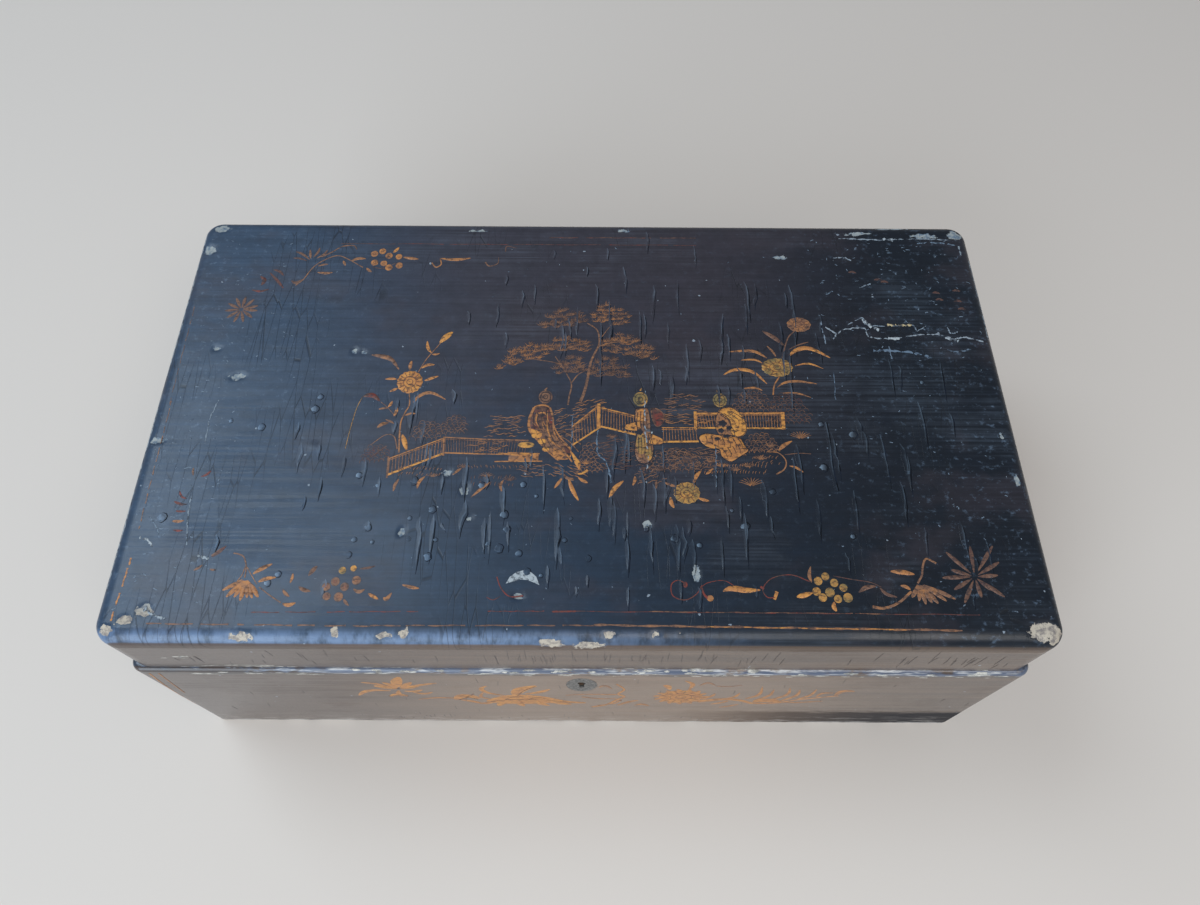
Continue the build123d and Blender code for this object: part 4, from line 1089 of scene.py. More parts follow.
def tuft(middle, radius, blades, tone, spread=2.6, width=0.42):
    """A tuft of grass: blades from one foot, bending over outwards."""
    angle = pi / 2 + np.linspace(-spread / 2, spread / 2, blades)
    run = np.linspace(0.12, 1, 6)
    out = np.cos(angle)[:, None] * radius * run**1.2
    up = np.sin(angle)[:, None] * radius * (run - 0.45 * run**2) + 0.25 * radius * run
    lines = np.array(middle) + np.stack([out, up], -1)
    return (*strokes(lines, width * np.array([0.6, 1, 1, 0.9, 0.7, 0.3]), 0.08), tone)


dice = np.random.default_rng(41)
ground = []
for middle, half_width, height, radius, tone in (
    ((83, -1.5), 9, 11.5, 1.25, 0.28), ((100, -8.5), 9.5, 17, 1.3, 0.2), ((-74, -18.5), 7.5, 10, 1.3, 0.3),
    ((-61.5, -15.5), 6, 10, 1.2, 0.26), ((43.5, -35), 12, 12, 1.4, 0.3), ((85.5, -24.5), 7.5, 10, 1.2, 0.34),
    ((3.5, -36), 5, 15, 1.2, 0.34), ((-98, -31), 6, 9, 1.2, 0.16),
):
    ground += scale_bush(middle, half_width, height, radius, tone, dice)
for low, high, length, tone, rise in (
    ((-46, -16.5), (-27, -5), 8, 0.38, 0.08), ((-13.5, -17), (-6, -1), 6, 0.38, 0.35),
    ((-3, -1.5), (6, 4.5), 6, 0.44, 0.2), ((40, -2), (55, 8), 8, 0.34, 0.05),
    ((8, -34), (25, -17), 7, 0.2, 0), ((-52, -25), (-36, -18), 7, 0.42, 0.1),
    ((38, -9), (56, -3), 7, 0.42, 0), ((-16, -38), (-3, -31), 7, 0.4, -0.4),
    ((60, -26), (78, -22), 5, 0.42, 0), ((26, -41), (36, -33), 5, 0.32, 0.3),
    ((-30, -38), (-16, -31), 6, 0.34, -0.15), ((40, -34), (58, -22), 7, 0.3, 0.1),
):
    ground.append(ripples(low, high, length, tone, dice, rise))
for low, high, step, row_step, length, lean, tone in (
    ((56, -36), (87, -31.5), 1.5, 3, 2.8, 0.3, 0.42), ((80, -31), (93, -22), 1.7, 3, 2.6, 0.5, 0.38),
    ((-58, -34), (-24, -31.5), 1.5, 3, 2.4, -0.3, 0.3), ((-52, -43), (-31, -38), 1.8, 3.4, 3, 0.2, 0.24),
    ((-86, -38), (-66, -33), 1.6, 3, 2.4, 0.4, 0.38), ((48, -31), (60, -24), 1.6, 2.4, 2.2, -0.6, 0.38),
):
    ground.append(comb(low, high, step, row_step, length, lean, tone, dice))
for middle, radius, blades, tone in (
    ((79, -43), 6, 9, 0.44), ((104.5, -17.5), 5.5, 9, 0.42), ((66, -33), 3.4, 7, 0.42),
    ((72, -35), 3.4, 7, 0.42), ((78, -33), 3.4, 7, 0.42), ((84.5, -29), 3.4, 7, 0.42),
    ((-45, -39), 3.6, 7, 0.3), ((-34, -41), 3.6, 7, 0.24), ((14, -17.5), 3, 7, 0.3), ((-56, -34), 3, 6, 0.32),
    ((1.5, -32), 3.6, 8, 0.46), ((61, -30.5), 3, 7, 0.4), ((90, -22), 3, 7, 0.36), ((-70, -39), 2.8, 6, 0.34),
    ((37, -35), 3.2, 7, 0.26),
):
    ground.append(tuft(middle, radius, blades, tone))
ground += [line([(-41.5, -30.5), (-19, -30.2)], 0.7, 0.55),
           line([(-40, -26), (-30, -27), (-21, -26.5)], 1.8, 0.58, 0.5, 1)]
gild("lid_gold_ground", ground)


# Fallen leaves and one flower scattered under the garden, and a curling tendril at its right end: single
# strokes of gold paint on the lacquer, bright or rubbed down to brown.
scattered = flower((48.6, -46.4), 6, 5.4, 0.9, 13)
for points, width, tone in (
    ([(-9, -38.4), (-11, -41.5), (-13.2, -44.8)], 1.8, 0.5),
    ([(-6.8, -38), (-4.5, -45), (-1.2, -51.4)], 2.4, 0.56),
    ([(-2.2, -38.6), (0.5, -40.4), (2.8, -41.6)], 2, 0.52),
    ([(12.2, -50), (15.2, -44.2), (19.8, -39.8)], 2.6, 0.62),
    ([(23.4, -43), (24.6, -40), (24.6, -37.6)], 1.8, 0.5),
    ([(33.8, -45.4), (34.6, -42.5), (34.6, -40)], 1.4, 0.3),
    ([(51.8, -42), (53.2, -38), (56.2, -34.2)], 2.3, 0.56),
    ([(44.8, -43.6), (41, -42.2), (37.6, -40.8)], 1.6, 0.4),
    ([(53.2, -48.8), (56.5, -50), (59, -50.6)], 1.8, 0.56),
    ([(41, -48.2), (41.2, -51.5), (42.6, -54.4)], 2.3, 0.58),
    ([(57.8, -36.8), (59.5, -35.5), (61.8, -33.2)], 1.6, 0.5),
    ([(93, -24.2), (96, -21), (100.8, -18.2)], 2.4, 0.56),
    ([(97.2, -31.8), (101, -33), (104.4, -35.8)], 1.4, 0.5),
    ([(-52, -50), (-46.5, -44.5), (-42.5, -41)], 1.8, 0.42),
    ([(-37, -47), (-38, -43), (-36.5, -40)], 1.8, 0.42),
    ([(-61, -38), (-58.5, -35.5), (-56.5, -34)], 1.5, 0.4),
):
    scattered.append(leaf(points, width, tone))
scattered += [
    line([(88, -24.5), (93, -25), (96.2, -29), (95.2, -33.5), (91, -36.5)], 0.7, 0.42, 0.6, 1.3),
    line([(96, -26), (103, -25.2), (108.5, -25.5)], 0.35, 0.3),
]
gild("lid_gold_leaves", scattered)


# Border: two ruled lines along the front and back, remains of one on the left, and sprays in three of the
# corners. All are gold paint on the lacquer, the lines worn through in places, the sprays drawn freehand.
def ruled(start, end, width, gaps, tone, dice):
    """A ruled line with its width wavering, worn through for 1 to 5 mm at random places."""
    reach = np.hypot(end[0] - start[0], end[1] - start[1])
    middles = (np.arange(gaps) + dice.uniform(0.2, 0.8, gaps)) / gaps
    halves = np.minimum(dice.uniform(0.5, 2.5, gaps) / reach, 0.15 / gaps)
    edges = np.sort(np.concatenate([[0, 1], middles - halves, middles + halves])).reshape(-1, 2)
    marks = []
    for low, high in edges:
        share = np.linspace(low, high, max(4, int(60 * (high - low))))
        path = np.array(start) + (np.array(end) - np.array(start)) * share[:, None]
        path[:, 1 if abs(end[0] - start[0]) > abs(end[1] - start[1]) else 0] += 0.12 * np.sin(share * 37)
        marks.append((*strokes(path, width * (0.75 + 0.35 * np.sin(share * 91 + low * 50)), 0.07), tone))
    return marks


dice = np.random.default_rng(51)
border = []
for start, end, width, gaps, tone in (
    ((-6, -103.6), (173, -104.2), 0.5, 2, 0.1), ((30, -103.5), (130, -104), 0.45, 3, 0.34),
    ((-142, -104.8), (-70, -104), 0.55, 4, 0.06), ((-40, -103.8), (-6, -103.6), 0.5, 1, 0.05),
    ((6, -109.6), (164, -111.2), 1.3, 2, 0.34), ((30, -109.9), (140, -111), 0.7, 4, 0.6),
    ((-186, -110), (-90, -110.6), 0.9, 7, 0.3), ((-90, -110.4), (6, -109.8), 0.8, 5, 0.28),
    ((-133, 103), (60, 103.4), 0.5, 5, 0.12), ((-20, 108.2), (60, 108.6), 0.8, 2, 0.16),
    ((-201.4, -109), (-200, -80), 1.1, 3, 0.52), ((-200.2, -66), (-201.4, 2), 0.6, 9, 0.36),
    ((-202, 0), (-203, 60), 0.4, 6, 0.3),
):
    border += ruled(start, end, width, gaps, tone, dice)
gild("lid_gold_borders", border)


def berries(middles, radius, tone, dice):
    """Round berries: small pads, each with a dark calyx ring."""
    marks = []
    for middle in middles:
        size = radius * dice.uniform(0.88, 1.1)
        marks.append(pad(oval(middle, size, size * 1.05, count=14), tone + dice.uniform(-0.05, 0.05)))
        ring = oval(middle, size * 0.35, size * 0.35, count=8)
        marks.append((*strokes(np.concatenate([ring, ring[:1]]), 0.2, 0.14), tone - 0.4))
    return marks


def hanging_flower(hub, petals, tone):
    """A half-open flower hung from its hub: narrow petals side by side."""
    hub = np.array(hub)
    return [leaf([hub, (hub + tip) / 2 + (0.4, 0), tip], width, tone, 0.62) for tip, width in petals]


sprays = []
front_left_petals = (
    ((-157, -95.2), 2.2), ((-154.6, -98.4), 2.6), ((-151, -98.6), 2.4), ((-148, -100.2), 2.6),
    ((-145, -98.8), 2.4), ((-142.6, -99), 2.2), ((-139.8, -98.6), 2.4),
)
sprays += hanging_flower((-147.6, -89), front_left_petals, 0.48)
for points, width, tone in (
    ([(-145, -87.6), (-141.2, -84.8), (-136.2, -82.2)], 2.4, 0.5),
    ([(-142, -91.2), (-138.5, -89.5), (-133.6, -88.8)], 2.2, 0.5),
    ([(-129.6, -100.6), (-126.5, -101.4), (-123.2, -100.2)], 2.2, 0.48),
    ([(-120.2, -88.2), (-118.5, -85.5), (-116.6, -83.2)], 2.4, 0.32),
    ([(-127.6, -91.8), (-127, -89), (-127, -86.6)], 1.5, 0.48),
    ([(-123.8, -92.8), (-121, -94.5), (-117.6, -95.2)], 2.2, 0.3),
    ([(-130.4, -94.2), (-128.5, -96.4), (-126.6, -97.8)], 1.8, 0.4),
    ([(-99.8, -93.8), (-96.8, -95.2), (-94.2, -94)], 2, 0.4),
    ([(-93, -95.8), (-90.5, -97.2), (-87.6, -98.8)], 1.9, 0.52),
    ([(-103.2, -98.4), (-102, -100), (-100.2, -101.8)], 1.6, 0.3),
    ([(-86, -97.6), (-84.4, -98.4), (-82.2, -95.2)], 2.2, 0.44),
    ([(-78.8, -91.8), (-74.2, -93), (-70.2, -93.6)], 1.9, 0.44),
    ([(-164.8, -79.8), (-161.5, -76.8), (-158.6, -73.6)], 1.8, 0.16),
    ([(-98.2, -84.6), (-94.5, -84.2), (-90.6, -83)], 1.4, 0.2),
):
    sprays.append(leaf(points, width, tone))
sprays += berries([(-111.4, -93), (-107.8, -90.6), (-103.4, -93), (-98.6, -90), (-110.6, -97.4),
                   (-105.4, -97.6)], 2, 0.36, dice)
sprays += berries([(-105.4, -85.4), (-100.6, -84.4)], 1.6, 0.86, dice)
sprays += [
    line([(-155, -77.5), (-152.5, -78), (-150, -79.5), (-148.2, -84), (-147.8, -89)], 0.7, 0.34),
    line([(-148.6, -84), (-149.4, -88), (-151.6, -92)], 0.4, 0.44),
    line([(-147.8, -84), (-145, -88), (-142, -92)], 0.4, 0.44),
    line([(-140.6, -93.4), (-135.5, -97), (-130, -100.4)], 0.6, 0.34),
    line([(-35, -97), (-38, -98.6), (-41, -97.4)], 0.4, 0.1),
    line([(-37, -88), (-35, -93), (-31, -97), (-25, -96.6)], 0.6, 0.02),
    line([(-12, -103.8), (-2, -103.6)], 0.9, 0.06),
]
gild("lid_gold_front_left_spray", sprays)

front_right_petals = (
    ((144.6, -97), 2.4), ((147.6, -98.6), 2.2), ((150.4, -100.2), 2.4), ((153.4, -99.6), 2.4),
    ((156.2, -99.8), 2.4), ((160.4, -98.6), 2.2), ((164.6, -97.6), 2.2),
)
sprays = hanging_flower((148.6, -89.6), front_right_petals, 0.38)
star_hub = np.array((174.2, -86.8))
star_tips = (
    (163, -74.5), (175, -71.5), (185.8, -71.2), (187.2, -79.4), (185.2, -86), (186.2, -96.6),
    (175.4, -97), (167, -99.6), (159, -87.4), (163.4, -93.2), (163.8, -83.4), (181, -93.5),
)
sprays += [leaf([star_hub, (star_hub + tip) / 2, tip], 2.3, 0.22, 0.62) for tip in star_tips]
for points, width, tone in (
    ([(61.8, -94.4), (66, -92.8), (73, -93.6), (79.8, -93.4)], 3.2, 0.58),
    ([(94, -96.6), (97.6, -95.8), (102.2, -94.4)], 2.8, 0.66),
    ([(101.8, -90.2), (101, -86.5), (102.2, -81.8)], 1.9, 0.4),
    ([(121.4, -94.6), (125.5, -92), (130.4, -91.4)], 2.4, 0.26),
    ([(136.6, -84.4), (142.5, -84.8), (148.4, -86)], 2.8, 0.46),
    ([(140.4, -91), (143, -91.6), (145, -93.2)], 1.9, 0.46),
    ([(110.6, -98.4), (110.2, -101), (111.2, -103.2)], 2.4, 0.6),
    ([(131, -91.6), (134, -95), (139, -96.6)], 1.8, 0.22),
):
    sprays.append(leaf(points, width, tone))
berry_bunch = [
    (108, -87), (111.6, -90), (115.4, -92.2), (109.2, -94.4), (116.8, -96.8), (112.4, -97.4), (103.4, -94),
    (104.6, -89.2), (105.8, -96.8),
]
sprays += berries(berry_bunch, 2.0, 0.9, dice)
sprays += [
    line([(45.8, -90.4), (42.6, -89.2), (39.8, -91.4), (40.4, -96.4), (45.6, -98.2), (50.6, -95.6),
          (53.2, -91.6)], 0.55, 0.04),
    line([(53.2, -92.4), (54, -95.6), (56.4, -98)], 1, 0.04, 0.6, 1.6),
    line([(53.2, -92), (56.2, -90.2), (63, -89.2), (68.4, -92.2)], 0.4, 0.04),
    line([(101.2, -89.6), (93, -86.4), (84.4, -88), (80, -92.8), (81.4, -96.6), (85, -97)], 0.55, 0.06),
    line([(84.6, -97.8), (86, -94.2)], 1.9, 0.6, 0.8, 1), pad(oval((46, -91.2), 1, 1.4, count=12), 0.04),
    pad(oval((56.6, -97.4), 1.5, 1.5, count=12), 0.5),
    line([(111.6, -86.8), (120, -88.4), (127.4, -89.6), (132.2, -91.8)], 0.45, 0.16),
    line([(158.2, -80.6), (154.2, -78.4), (152, -82), (151, -86), (148.4, -90)], 1.1, 0.36),
    line([(145, -93.8), (138.5, -99), (132, -101.4), (127, -100.8)], 1.3, 0.38, 1, 1.2),
    line([(80.4, -93), (79, -91.8)], 1.2, 0.04),
]
gild("lid_gold_front_right_spray", sprays)

sprays = []
for points, width, tone in (
    ([(-143.4, 83), (-138.5, 82.4), (-134.2, 83)], 1.9, 0.42),
    ([(-143.4, 87), (-140.4, 88.2), (-137.6, 88.6)], 1.4, 0.34),
    ([(-126.4, 90.6), (-122.5, 92.6), (-117.6, 92.6)], 2.1, 0.44),
    ([(-130.2, 91.2), (-129.4, 89.4), (-128.4, 87.6)], 1.8, 0.4),
    ([(-147.6, 91), (-153, 95.6), (-157, 97.2)], 1.7, 0.26),
    ([(-147.8, 92), (-148.6, 95.5), (-149.2, 99)], 1.7, 0.36),
    ([(-146.8, 92.6), (-144.6, 97), (-144, 100.4)], 1.7, 0.28),
    ([(-145, 92.2), (-141, 95.6), (-139.6, 99)], 1.5, 0.3),
    ([(-149, 90.6), (-154, 92.4), (-158, 92.6)], 1.4, 0.2),
    ([(-104.2, 96.6), (-102.6, 98.6), (-100.8, 101)], 2, 0.6),
    ([(-98.8, 93.8), (-94.2, 93), (-89.4, 92.4)], 2.2, 0.44),
    ([(-79.6, 93.4), (-72.5, 92.4), (-67, 92.6), (-61, 93.6)], 2.2, 0.5),
    ([(-117.2, 86.4), (-115.6, 84.6), (-113.8, 83.2)], 2, 0.4),
    ([(-168.8, 83.4), (-163, 77), (-158.6, 71.6)], 2, 0.14),
    ([(-156, 77.4), (-153, 75.8), (-149.4, 78.4)], 2.2, 0.22),
    ([(-173, 80.4), (-170, 77.4), (-171.5, 73.4)], 2.6, 0.12),
    ([(-160, 80), (-163, 83.4), (-167, 84.6)], 1.8, 0.12),
    ([(-176, 71), (-171, 70), (-166, 71.6)], 1.6, 0.12),
):
    sprays.append(leaf(points, width, tone))
sprays += berries([(-114, 96), (-109.8, 97.8), (-106, 94.6), (-100.6, 94), (-113.2, 89.8), (-108.2, 89.4),
                   (-105.2, 86.6), (-99.8, 88)], 1.9, 0.5, dice)
sprays += [
    line([(-153, 74), (-149.5, 78), (-146, 85.5), (-141.5, 90.5), (-134, 94.5), (-127.5, 92),
          (-119, 86.5)], 0.7, 0.34),
    line([(-142, 93.6), (-137, 97), (-132, 101), (-126, 101.6), (-124, 99)], 0.8, 0.3),
    line([(-78.2, 92.6), (-77.4, 89), (-80, 87), (-82.6, 90)], 0.9, 0.46),
    line([(-53.8, 90.6), (-51.6, 88), (-47.2, 89.6), (-46.8, 94)], 0.7, 0.3, 1.4, 0.5),
    line([(-43.4, 98), (-42.8, 101.8), (-37.4, 100.6)], 0.6, 0.22, 1.4, 0.5),
    line([(-114, 86.8), (-108, 86), (-102, 89.6)], 0.35, 0.26),
]
faint_star = (-178.4, 58)
sprays += [leaf([faint_star, np.array(faint_star) + (4.4 * cos(a), 4.4 * sin(a)),
                 np.array(faint_star) + (9.0 * cos(a), 9.0 * sin(a))], 2.0, 0.26, 0.6)
           for a in np.linspace(0.3, 6.2, 11)]
gild("lid_gold_back_left_spray", sprays)


# Knocks on the lid: a long split across its right end where the coat has lifted and shows gesso, splits
# through two of the figures, rubbed lines along the back, and scuffs thick towards both ends.
def scuffs(count, low, high, length, seed, width=0.5):
    """Short crooked scuffs in every direction: each is a walk of a few steps whose heading turns."""
    dice = np.random.default_rng(seed)
    heading = dice.uniform(0, 2 * pi, (count, 1)) + np.cumsum(dice.normal(0, 0.6, (count, 5)), 1)
    step = length * dice.uniform(0.3, 1, (count, 1, 1)) / 5
    walk = np.cumsum(np.stack([np.cos(heading), 0.7 * np.sin(heading)], -1) * step, 1)
    lines = dice.uniform(low, high, (count, 1, 2)) + walk
    taper = np.array([0.3, 1, 0.8, 1, 0.2])
    return (*strokes(lines, width * dice.uniform(0.5, 1.3, (count, 1)) * taper, 0.04), 0.3)


def scuffed_coat(name):
    """Bruised lacquer: grey-blue, turning to white and then to cream gesso as the stroke's tone rises,
    broken up by the coat's own dark."""
    material, tree, shader = new_material(name)
    spot = place_in(tree)
    tone = carried(tree, "tone")
    bruise = blend(tree, ramp(tree, tone, 0.2, 0.6), colour(92, 112, 132), colour(170, 178, 182))
    bruise = blend(tree, ramp(tree, tone, 0.75, 0.95), bruise, colour(190, 172, 130))
    kept = ramp(tree, grain(tree, spot, (420, 420, 420), 4, 0.7), 0.47, 0.6)
    bruise = blend(tree, times(tree, kept, 0.85), bruise, colour(26, 38, 54))
    tree.links.new(bruise, shader.inputs["Base Color"])
    shader.inputs["Roughness"].default_value = 0.6
    return material


torn_dice = np.random.default_rng(90)


def tear(points, width, tone=0.5, lift=0.1):
    """A ragged stroke through a few points: its line is shaken sideways and its width comes and goes."""
    path = along(points, 9)
    path = path + torn_dice.normal(0, 0.16, path.shape)
    return (*strokes(path, width * torn_dice.uniform(0.1, 1.3, len(path)), lift), tone)


split = [(124, 49), (129.5, 45), (133.5, 47.5), (144, 48.5), (146, 43), (157, 42), (172.5, 44.5),
         (183, 44.5), (189, 42), (195, 43), (204, 40.5)]
upper_split = [(136, 50.5), (144, 55), (146, 50.5), (160.5, 50), (169.5, 50.5), (171, 47), (176, 50)]
worn_end = [([(-208.1, y), (-207.8, y + 26), (-208.2, y + 52)], 0.8, 0.5) for y in (-96, -40, 18, 60)]
knocks = [tear(points, width, tone) for points, width, tone in (
    (split, 0.9, 0.42), (upper_split, 0.7, 0.36), ([(129.5, 45), (127.5, 41.5)], 0.8, 0.4),
    ([(156.5, 50.8), (163, 50.4), (170, 50.8)], 1.5, 0.94), ([(155.5, 42.4), (161.5, 41.8)], 1.9, 0.7),
    ([(143.5, 55), (146.5, 51), (151.5, 47.5)], 2.2, 0.6), ([(185, 42.5), (191.5, 40.8)], 2, 0.5),
    ([(187, 49.5), (188.5, 45.5), (192, 46.5)], 0.9, 0.36),
    ([(122, 56.5), (122.5, 48), (123.2, 38.5)], 0.9, 0.32),
    ([(147, 34.5), (155, 34.5), (168.5, 32.8), (176, 30)], 1.8, 0.24),
    ([(155, 37), (155.6, 29.5)], 0.9, 0.28), ([(184.5, 35), (190.5, 34), (197, 36)], 0.9, 0.28),
    ([(163, 108.8), (168, 108.2)], 2.2, 0.5),
    ([(138.5, 109), (151.5, 108.5), (165.5, 108), (179, 109), (203, 108.2)], 1, 0.4),
    ([(181, 105.5), (187.5, 106.5), (194, 106), (201.5, 104.5)], 0.9, 0.28),
    ([(125, 22), (124, 5)], 0.6, 0.26), ([(134, 95), (139, 95.4), (143.5, 93.5)], 0.8, 0.4),
    ([(145.5, 75), (151.5, 77.5)], 1.1, 0.36), ([(127, 70), (131, 72.5)], 0.8, 0.28),
    ([(203.5, 103.5), (203.5, 97.5)], 1.3, 0.4), ([(-178.5, 2.5), (-180.5, -7.5), (-180, -20.5)], 0.7, 0.36),
    ([(-180, -49.5), (-179.5, -58.5), (-177, -73.5)], 0.8, 0.36),
    ([(-199, -70), (-194.5, -71.6), (-192, -74.5)], 1.3, 0.56),
    ([(-197, -59.5), (-192, -66), (-190, -70.5)], 0.8, 0.3),
    ([(-188.5, -103.5), (-183, -106.5), (-178.5, -107.5)], 2.2, 0.45),
    ([(-171, -78.8), (-165.5, -80.5)], 1.6, 0.45), ([(160, 116.4), (178, 116.8)], 1.2, 0.5),
    ([(207.6, 100), (208, 70), (207.6, 42)], 0.8, 0.4), *worn_end,
)]
knocks += [tear(points, width, tone, 0.14) for points, width, tone in (
    ([(30.5, 9), (30, -3.5), (30, -14.5), (31, -25.5), (30.5, -34)], 0.9, 0.4),
    ([(31, -13), (33.5, -14)], 2, 0.6), ([(-5, -3.5), (-5.5, -22), (-5.5, -31)], 0.5, 0.26),
    ([(63.5, -21.5), (63, -34), (62.5, -43)], 0.6, 0.28),
    ([(7, -13), (7.2, -25.5), (11.5, -31), (13.5, -41.5)], 1.1, 0.24),
)]
crescent = [
    (-33.1, -91.2), (-30, -90.2), (-26.5, -89.2), (-23.5, -89.4), (-20.5, -90.6), (-17.9, -91.8),
    (-19.5, -87.8), (-22, -85.6), (-25.5, -84.8), (-28.5, -85.6), (-31.5, -88),
]
knocks += [
    pad(np.array(crescent), 0.52, 0.08),
    scuffs(90, (-204, -104), (-160, 20), 3.6, 91), scuffs(40, (-204, 20), (-150, 108), 3.2, 92),
    scuffs(90, (120, 40), (204, 108), 3.8, 93), scuffs(70, (110, -105), (204, 40), 3, 94),
    scuffs(90, (-150, -104), (110, 108), 2.2, 95, 0.4),
]
lay("lid_knocks", knocks, on_lid, scuffed_coat("scuffed_coat"), "lid")

faint = [leaf(points, width, tone, 0.6) for points, width, tone in (
    ([(-180.5, -53.5), (-184, -53.6), (-188, -52)], 1.6, 0.06),
    ([(-180.5, -57), (-183, -57.2), (-185.8, -57)], 1.3, 0.04),
    ([(-180, -61.5), (-183, -62.2), (-186.5, -62)], 1.8, 0.42),
    ([(-179.6, -66.5), (-182, -66.8), (-184.8, -66.5)], 1.2, 0.02),
    ([(-181, -51), (-184.5, -49.8), (-186.4, -46.5)], 1.2, 0.02),
    ([(-181.5, -39.5), (-182.2, -37), (-182.5, -34.5)], 1.3, 0.3),
    ([(-178.5, -39.5), (-176, -38.6), (-173.6, -36)], 1.4, 0.05),
    ([(-165.5, -79), (-163, -77.6), (-160, -74.5)], 1.5, 0.3),
    ([(-171.5, -86), (-169.6, -84.8), (-167.5, -83)], 1.6, 0.3),
    ([(-164.5, -85), (-163, -85.4), (-161, -85.5)], 1.2, 0.3),
)]
faint += [leaf([(x, y), (x + 2.4, y + 0.6), (x + 4.6, y - 0.4)], 1.7, 0.16) for x, y in (
    (140.5, 85), (153.5, 80), (156.8, 78.6), (183, 71.5), (184, 67), (194, 73), (193.6, 66), (194.6, 61),
)]
gild("lid_faint_sprigs", faint, gold=worn_gold("faint_size", wear=0.95, mottling=0.2, patch_scale=330))


# Rails of the lid: four boards dovetailed at the corners under the panel, lacquered over the joints. The
# coat of the front band has checked upright, and its lower edge is chipped along the seam.
rail_lacquer = lacquer("rail_lacquer", bloom=0.6, crazing=0.4, coat=0.6)
band_face = panel_low[1]


def finish_node(name, material):
    """Give a CAD node its finish."""
    nodes[name].data.materials.clear()
    nodes[name].data.materials.append(material)


for name in ("lid_front_rail", "lid_back_rail", "lid_left_rail", "lid_right_rail"):
    finish_node(name, rail_lacquer)


def on_band(points):
    """From places on the lid's front band, x and z, and heights over it to points of the box."""
    return np.stack([points[:, 0], band_face - points[:, 2], points[:, 1]], -1)


def checks(count, low, high, reach, seed, width=0.4):
    """Upright checks in a coat: narrow strokes that lean and step sideways a little."""
    dice = np.random.default_rng(seed)
    run = np.linspace(0, 1, 5)
    foot = dice.uniform(low, high, (count, 1, 2))
    lean = dice.normal(0, 0.8, (count, 1)) * run + np.cumsum(dice.normal(0, 0.18, (count, 5)), 1)
    rise = reach * dice.uniform(0.4, 1, (count, 1)) * run
    lines = foot + np.stack([lean, rise], -1)
    return (*strokes(lines, width * np.array([0.1, 0.8, 1, 0.8, 0.1]), 0.06), 0)


check_lacquer = lacquer("check_lacquer", fading_and_sheen=0.4, bloom=0.3, crazing=0.0, floor_reflection=0.45)
band_checks = [checks(34, (-40, 112), (60, 122), 24, 61), checks(26, (60, 111), (200, 124), 22, 62),
               checks(18, (-205, 111), (-40, 126), 18, 63, 0.3)]
lay("lid_band_checks", band_checks, on_band, check_lacquer, "lid")


# Walls of the case: dovetailed boards under one lacquer coat. They stand out past the lid in front, so
# their top edge has caught every knock: its rounding is rubbed to a pale, broken line, made brighter by a
# painted highlight.
coat_inset = 0.25            # the coat of the case lies this far inside the boards' size, under its gilding
case_low, case_high = (np.array(corner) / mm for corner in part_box("case_front_board"))
case_high[1] = -case_low[1]
case_radius = 6.0
arris_radius = 2.5
core_margin = 3.0
front_face = case_low[1] + coat_inset
arris_foot = case_high[2] - arris_radius


